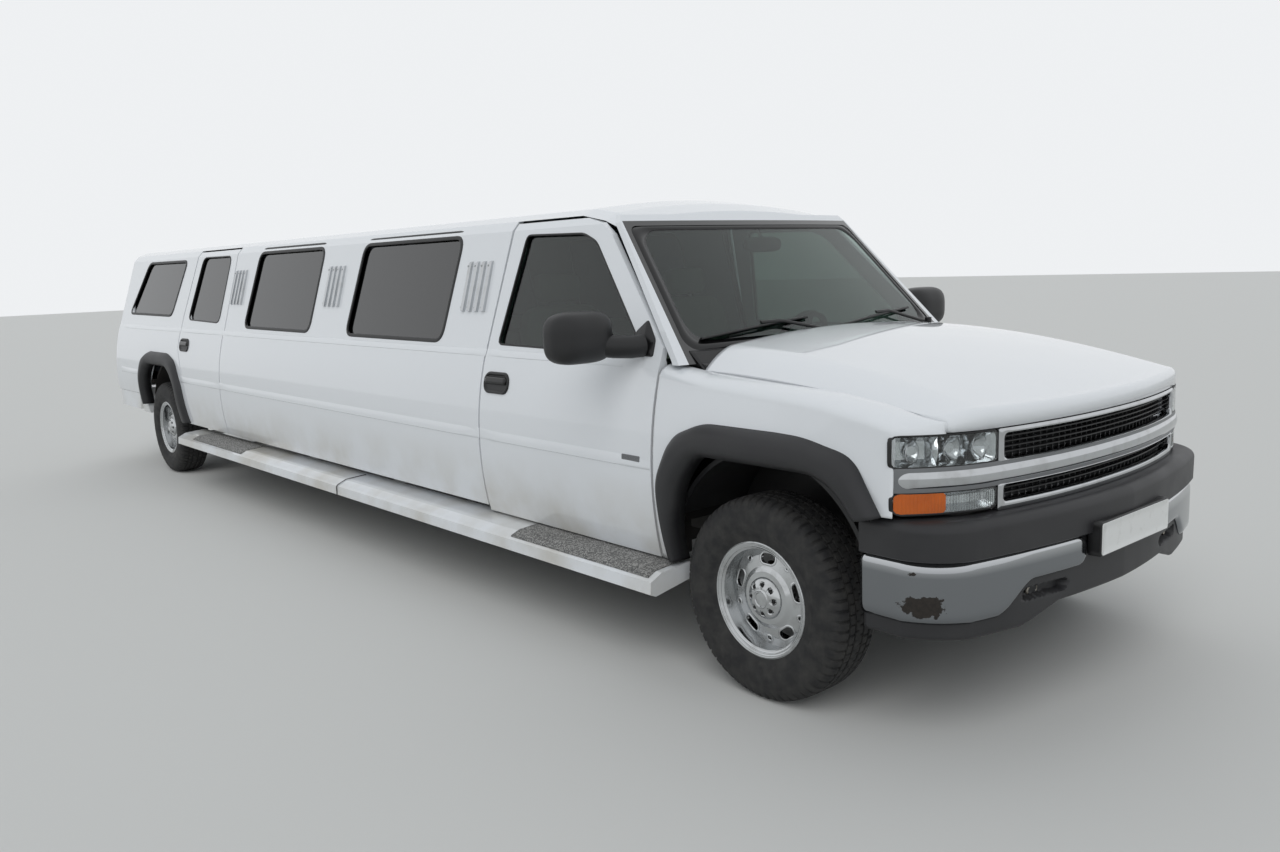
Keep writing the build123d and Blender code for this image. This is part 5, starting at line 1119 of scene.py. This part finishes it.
# Running boards: grit mats in the tread places and the dark joint between their lengths
MATS = {"front": (-1.42, -0.46), "rear": (-5.80, -4.80)}
MAT_PROFILE_Y = np.array((0.925, 0.930, 1.055, 1.098, 1.102))
MAT_PROFILE_Z = np.array((0.4380, 0.4415, 0.4310, 0.4135, 0.4085))
for mat, (start, stop) in MATS.items():
    for name, side in SIDES:
        x = X_FRONT + np.linspace(start, stop, 40)[:, None]
        grid = points(x, side * MAT_PROFILE_Y[None], MAT_PROFILE_Z[None])
        piece(f"step_mat_{mat}_{name}", [(grid, False, False)], GRIT_MAT, "body", wall_depth=0.004)


JOINT_X, JOINT_HALF = -3.220, 0.004
JOINT_Y = np.array((0.930, 1.058, 1.100, 1.118, 1.1235, 1.1235))
JOINT_Z = np.array((0.4410, 0.4325, 0.4150, 0.4050, 0.3950, 0.3450))
for name, side in SIDES:
    x = X_FRONT + JOINT_X + JOINT_HALF * np.array((-1, 1))[:, None]
    joint = points(x, side * JOINT_Y[None], JOINT_Z[None])
    piece(f"running_board_joint_{name}", [(joint, False, False)], SEAL, "body", wall_depth=0.002)


# Windshield: its black printed border, the cowl below it and two wipers
SHIELD_PLACE, SHIELD_RISE, SHIELD_BOW, SHIELD_CURVE = (X_FRONT - 0.470, 1.270), 0.500 / 0.530, 0.0933, 0.104


def shield(y, z, out=0.0):
    """Points on the windshield's outer face: a leaning plane that falls back with the square of the place
    across."""
    x = SHIELD_PLACE[0] - (z - SHIELD_PLACE[1]) * SHIELD_RISE + SHIELD_BOW - SHIELD_CURVE * y**2 + out
    return points(x, y, z)


GLASS_EDGE = ([(-0.848, 1.282), (0.848, 1.282), (0.737, 1.799), (-0.737, 1.799)], 0.045)
CLEAR_EDGE = ([(-0.800, 1.318), (0.800, 1.318), (0.700, 1.776), (-0.700, 1.776)], 0.100)
outer, inner = (joined(rounded(*line, 16).reshape(4, 16, 2), 24) for line in (GLASS_EDGE, CLEAR_EDGE))
share = np.array((0.0, 0.5, 1.0))[:, None, None]
ring = outer[None] * (1 - share) + inner[None] * share
border = [(shield(ring[..., 0], ring[..., 1], 0.0012), False, True)]
piece("windshield_border", border, GLOSS_BLACK, "body", 60.0, 0.0008)

COWL_X, COWL_Z, COWL_HALF, COWL_CURVE = X_FRONT - 0.372, 1.300, 0.845, 0.118
y = np.linspace(-COWL_HALF, COWL_HALF, 90)[:, None]
low_z = COWL_Z - COWL_CURVE * y**2
high = shield(y, 1.284, 0.004)
t = np.linspace(0, 1, 8)[None]
cowl_x = COWL_X * (1 - t) + high[..., 0] * t
cowl_z = (low_z - 0.010) * (1 - t) + high[..., 2] * t
cowl = np.concatenate((points(COWL_X + 0.004, y, low_z - 0.060), points(cowl_x, y, cowl_z)), axis=1)
piece("cowl_grille", [(cowl, False, False)], BLACK, "body", 60.0, 0.003)
y = np.arange(-0.80, 0.80, 0.022)
slots = points(COWL_X - 0.013, y, COWL_Z - 0.0035 - COWL_CURVE * y**2)
piece("cowl_slots", [(b, False, True) for b in slabs(slots, (0.010, 0.006, 0.0035))], SEAL, "body", 30.0)

WIPERS = (
    # pivot, elbow and hinge, then the blade's start and end, each as place across and height on the glass
    ((0.030, 1.300), (-0.300, 1.372), (-0.420, 1.372), (-0.120, 1.376), (-0.760, 1.326)),
    ((0.745, 1.300), (0.480, 1.372), (0.370, 1.372), (0.700, 1.374), (0.060, 1.330)),
)
GLASS_FACING, PIVOT_X, PIVOT_Z = (1.0, 0.0, 0.6), X_FRONT - 0.425, (1.275, 1.325)
# How far arm, spine and rubber stand off the glass
ARM_STAND, SPINE_STAND, RUBBER_STAND = 0.034, 0.014, 0.009
wiper_grids = []
for pivot, elbow, hinge, blade_start, blade_end in WIPERS:
    arm_line = spaced(np.array((pivot, elbow, hinge)), 0.02, closed=False)
    run = np.linspace(0, 1, len(arm_line))
    arm_path = shield(arm_line[:, 0], arm_line[:, 1], ARM_STAND - 0.006 * run)
    arm_path[0, 2] = arm_path[0, 2] - 0.02
    wiper_grids.append(rod(arm_path, GLASS_FACING, 0.0085, 0.0045))
    t = np.linspace(0, 1, 40)
    bow = 4 * t * (1 - t)
    blade_y = blade_start[0] + (blade_end[0] - blade_start[0]) * t
    blade_z = blade_start[1] + (blade_end[1] - blade_start[1]) * t**1.4
    spine = shield(blade_y, blade_z, SPINE_STAND + 0.010 * bow)
    wiper_grids.append(rod(spine, GLASS_FACING, 0.0055, 0.0035))
    wiper_grids.append(rod(shield(blade_y, blade_z, RUBBER_STAND), GLASS_FACING, 0.0025, 0.008))
    cap = points(PIVOT_X, pivot[0], PIVOT_Z)
    wiper_grids.append(rod(cap, (0.0, 1.0, 0.0), 0.016))
piece("wipers", wiper_grids, BLACK, "body", 40.0)


# Inside mirror on its stalk
INSIDE_X, INSIDE_Z, STALK_BACK, STALK_TOP = X_FRONT - 0.835, 1.700, 0.033, 1.782
mirror_head = swollen((INSIDE_X, 0.0, INSIDE_Z), (0.020, 0.125, 0.036), 0.6, 20, 40)
t = np.linspace(0, 1, 6)
stalk = points(INSIDE_X - STALK_BACK * t, 0.0, INSIDE_Z + 0.020 + (STALK_TOP - INSIDE_Z - 0.020) * t)
stalk_grid = rod(stalk, (0.0, 1.0, 0.0), 0.008)
piece("inside_mirror", [(mirror_head, False, True), stalk_grid], BLACK, "body")


# Seats: crowned cushions with sewn channels, inside the space of their plain solids
CHANNEL_REACH, CHANNEL_PRESS = 0.010, 0.16


def cushion(place, half, thin, lean=0.0, channels=(), across=1, rows=64, columns=112):
    """A swollen block whose thin way is pressed in at each sewn channel by a bell curve of the place across,
    and which leans back in proportion to height."""
    grid = swollen((0, 0, 0), half, 0.42, rows, columns)
    press = sum(np.exp(-(((grid[..., across] - c) / CHANNEL_REACH) ** 2)) for c in channels)
    grid[..., thin] = grid[..., thin] * (1 - CHANNEL_PRESS * press)
    grid[..., 0] = grid[..., 0] - lean * grid[..., 2]
    return grid + place, False, True


SEAT_X, SEAT_Y = X_FRONT - 1.500, 0.450
front_grids, post_grids, base_grids = [], [], []
for side in (-1, 1):
    y = side * SEAT_Y
    front_grids.append(cushion((SEAT_X + 0.025, y, 0.862), (0.225, 0.262, 0.064), 2, 0.0, (-0.13, 0.13)))
    front_grids.append(cushion((SEAT_X - 0.282, y, 1.165), (0.058, 0.258, 0.272), 0, 0.17, (-0.13, 0.13)))
    front_grids.append(cushion((SEAT_X - 0.347, y, 1.526), (0.040, 0.132, 0.073), 0, 0.06))
    base_grids.append((swollen((SEAT_X, y, 0.715), (0.20, 0.23, 0.095), 0.2, 24, 40), False, True))
    for post_y in (y - 0.055, y + 0.055):
        path = points(SEAT_X - np.linspace(0.338, 0.350566, 6), post_y, np.linspace(1.425, 1.480, 6))
        post_grids.append(rod(path, (0.0, 1.0, 0.0), 0.006))
front_cushions = piece("front_seat_cushions", front_grids, GREY_LEATHER, "body", 60.0)
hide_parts("front_seats")
piece("headrest_posts", post_grids, CHROME, "body")
piece("front_seat_bases", base_grids, BLACK, "body")

BENCH_CHANNELS, COUCH_CHANNELS, SALOON_GRID = (-0.127, 0.127), (-0.12, 0.12), (36, 84)
PLINTHS = (((-2.160, 0.0, 0.735), (0.300, 0.770, 0.118)), ((-0.345, 0.515, 0.735), (1.480, 0.265, 0.118)))
saloon_grids = []
for y in (-0.52, 0.0, 0.52):
    for place, half, thin, lean in (
        ((-2.085, y, 0.925), (0.232, 0.254, 0.074), 2, 0.0),
        ((-2.400, y, 1.245), (0.052, 0.254, 0.250), 0, 0.10),
    ):
        saloon_grids.append(cushion(place, half, thin, lean, BENCH_CHANNELS, 1, *SALOON_GRID))
for x in np.arange(6) * 0.5 - 1.595:
    for place, half, thin in (
        ((x, 0.440, 0.925), (0.246, 0.196, 0.070), 2),
        ((x, 0.722, 1.085), (0.246, 0.046, 0.092), 1),
    ):
        saloon_grids.append(cushion(place, half, thin, 0.0, COUCH_CHANNELS, 0, *SALOON_GRID))
plinth_grids = [(swollen(place, half, 0.12, 24, 60), False, True) for place, half in PLINTHS]
saloon_cushions = piece("saloon_seat_cushions", saloon_grids, BLACK_LEATHER, "body", 60.0)
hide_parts("saloon_seats")
piece("saloon_seat_plinths", plinth_grids, BLACK_LEATHER, "body")


# Side lines: the low crease and the belt's raised line, each panel with its own length
CREASE = ((0.868, -0.001), (0.850, 0.0022), (0.826, 0.0046), (0.8185, 0.0046), (0.8150, -0.001))
BELT = ((1.2500, -0.001), (1.2440, 0.0030), (1.2300, 0.0040), (1.2180, 0.0030), (1.2140, -0.001))
PANELS = {
    # body, and the panel's ends from the front axle, for the crease and for the belt
    "front_door": ("front_door", (-1.800, -0.543), (-1.800, -0.760)),
    "stretch": ("body", (-5.398, -1.808), (-5.398, -1.808)),
    "rear_door": ("rear_door", (-6.285, -5.406), (-6.350, -5.406)),
    "quarter": ("body", (-7.950, -7.372), (-7.950, -6.364)),
}
for panel, (body, crease_ends, belt_ends) in PANELS.items():
    for name, side in SIDES:
        strips = []
        for line, (start, stop) in ((CREASE, crease_ends), (BELT, belt_ends)):
            z, out = np.array(line).T[:, None]
            x = np.linspace(start, stop, max(4, int((stop - start) / 0.1)))[:, None]
            ends = np.clip(np.minimum(x - start, stop - x) / 0.03, 0.05, 1)
            grid = wall(X_FRONT + x, z, side, out * ends)
            back = grid[:, [-1, 0]] - np.array((0, side * 0.003, 0))
            strips.append((np.concatenate((grid, back), axis=1), False, True))
        piece(f"{panel}_lines_{name}", strips, PAINT, rider(body, name), 50.0)


# Door seals: rubber strips inside the body, behind the gaps at the doors' upright edges
SEAL_PLACES, SEAL_HALF, SEAL_IN = (-1.804, -5.402), 0.022, 0.040
for name, side in SIDES:
    strips = []
    for place in SEAL_PLACES:
        z = np.linspace(0.470, 1.800, 40)[:, None]
        x = X_FRONT + place + SEAL_HALF * np.array((-1, 1))[None]
        strips.append((wall(x, z, side, -SEAL_IN), False, False))
    piece(f"door_seals_{name}", strips, SEAL, "body", wall_depth=0.004)


# Louvre screws: small domed heads at both ends of each bright bar
LOUVRE_GROUPS = ((-5.350, 1.440), (-3.744, 1.436), (-2.098, 1.424))
dome = [(0.0055, 0.0), (0.0051, 0.0016), (0.0033, 0.0027), (0.0001, 0.0031)]
screws = []
for side in (-1, 1):
    for x_low, z_low in LOUVRE_GROUPS:
        for i in range(4):
            for z in (z_low + 0.022, z_low + 0.228):
                y = np.interp(z, SKIN[:, 0], SKIN[:, 1]) + 0.0135
                spot = (X_FRONT + x_low + 0.062 * i, side * y, z)
                screws.append((turned(dome, spot, side, 12), True, False))
piece("louvre_screws", screws, CHROME, "body")


# Rear end: the tail lamps' rims, the cargo door's handle and a blank plate
TAIL_LAMP, TAIL_LEAN, RIM_SIZE = (-4.4935, 0.862, 1.062), 0.0092, (0.118, 0.330)
RIM_STEPS = ((0.0, 0.004), (0.0, -0.003), (0.004, -0.005), (0.006, 0.002))
across, up, stand = stepped(RIM_SIZE, 0.016, RIM_STEPS)
tail_grids = []
for side in (-1, 1):
    rim = points(TAIL_LAMP[0] + stand - up * TAIL_LEAN, side * TAIL_LAMP[1] + across, up + TAIL_LAMP[2])
    tail_grids.append((rim, False, True))
piece("tail_lamp_rims", tail_grids, SEAL, "body", 50.0, 0.0015)

CARGO_HANDLE, CARGO_SIZE = (-4.5105, -0.085, 1.070), (0.150, 0.062)
CARGO_STEPS = ((0.0, 0.006), (0.001, -0.004), (0.005, -0.012), (0.012, -0.015), (0.030, -0.016))
across, up, stand = stepped(CARGO_SIZE, 0.024, CARGO_STEPS)
grid = points(CARGO_HANDLE[0] + stand, across + CARGO_HANDLE[1], up + CARGO_HANDLE[2])
piece("cargo_handle", [(grid, False, True)], BLACK, "cargo_door_right", 50.0)

REAR_PLATE_X, REAR_PLATE_Z, REAR_PLATE_SIZE = X_TAIL + 0.0025, 0.571, (0.520, 0.114)
REAR_STEPS = ((0.0, 0.004), (0.0002, -0.002), (0.004, -0.0022), (0.0055, -0.0014), (0.056, -0.0014))
across, up, stand = stepped(REAR_PLATE_SIZE, 0.009, REAR_STEPS)
grid = points(REAR_PLATE_X + stand, across, up + REAR_PLATE_Z)
piece("rear_plate_blank", [(grid, False, True)], PLATE_TIN, "body", 50.0)


# Floor and light
def floor_finish():
    """Plain pale grey studio floor: smooth matt paint."""
    return material("pale_floor", Base_Color=linear("#D6D6D3"), Roughness=0.9)[0]


FLOOR_HALF = 60.0
edge = np.array((-FLOOR_HALF, FLOOR_HALF))
floor_grid = points(edge[:, None], edge[None, :], 0.0)
floor = piece("floor", [(floor_grid, False, False)], floor_finish(), None)
floor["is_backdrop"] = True


def soft_sky():
    """A pale even sky: its light on the object is plain, and camera, gloss and glass see it near white."""
    world = bpy.data.worlds.new("sky")
    bpy.context.scene.world = world
    world.use_nodes = True
    tree = world.node_tree
    tree.nodes.clear()
    path = tree.nodes.new("ShaderNodeLightPath").outputs
    seen = path["Is Camera Ray"]
    for kind in ("Is Glossy Ray", "Is Transmission Ray"):
        seen = add(tree, "ShaderNodeMath", {0: seen, 1: path[kind]}, operation="MAXIMUM")
    plain = add(tree, "ShaderNodeBackground", {"Color": linear("#E4EAF0"), "Strength": 0.50})
    shown = add(tree, "ShaderNodeBackground", {"Color": linear("#F4F6F8"), "Strength": 0.95})
    both = add(tree, "ShaderNodeMixShader", {0: seen, 1: plain, 2: shown})
    add(tree, "ShaderNodeOutputWorld", {"Surface": both})


soft_sky()


def soft_sun(name, place, strength, spread):
    """A wide soft sun that shines from a place towards the object's middle."""
    data = bpy.data.lights.new(name, "SUN")
    data.energy = strength
    data.angle = math.radians(spread)
    lamp = bpy.data.objects.new(name, data)
    aim = Vector((0, 0, 0.8)) - Vector(place)
    lamp.matrix_world = Matrix.Translation(place) @ aim.to_track_quat("-Z", "Y").to_matrix().to_4x4()
    lamp.visible_glossy = False
    bpy.context.scene.collection.objects.link(lamp)


soft_sun("key_sun", (5.0, -6.0, 8.0), 1.15, 50)
soft_sun("fill_sun", (-6.0, 5.0, 9.0), 0.45, 70)
bpy.context.scene.view_settings.view_transform = "Standard"

box = {"cad": [list(cad_low), list(cad_high)], "visual": [list(c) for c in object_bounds()]}
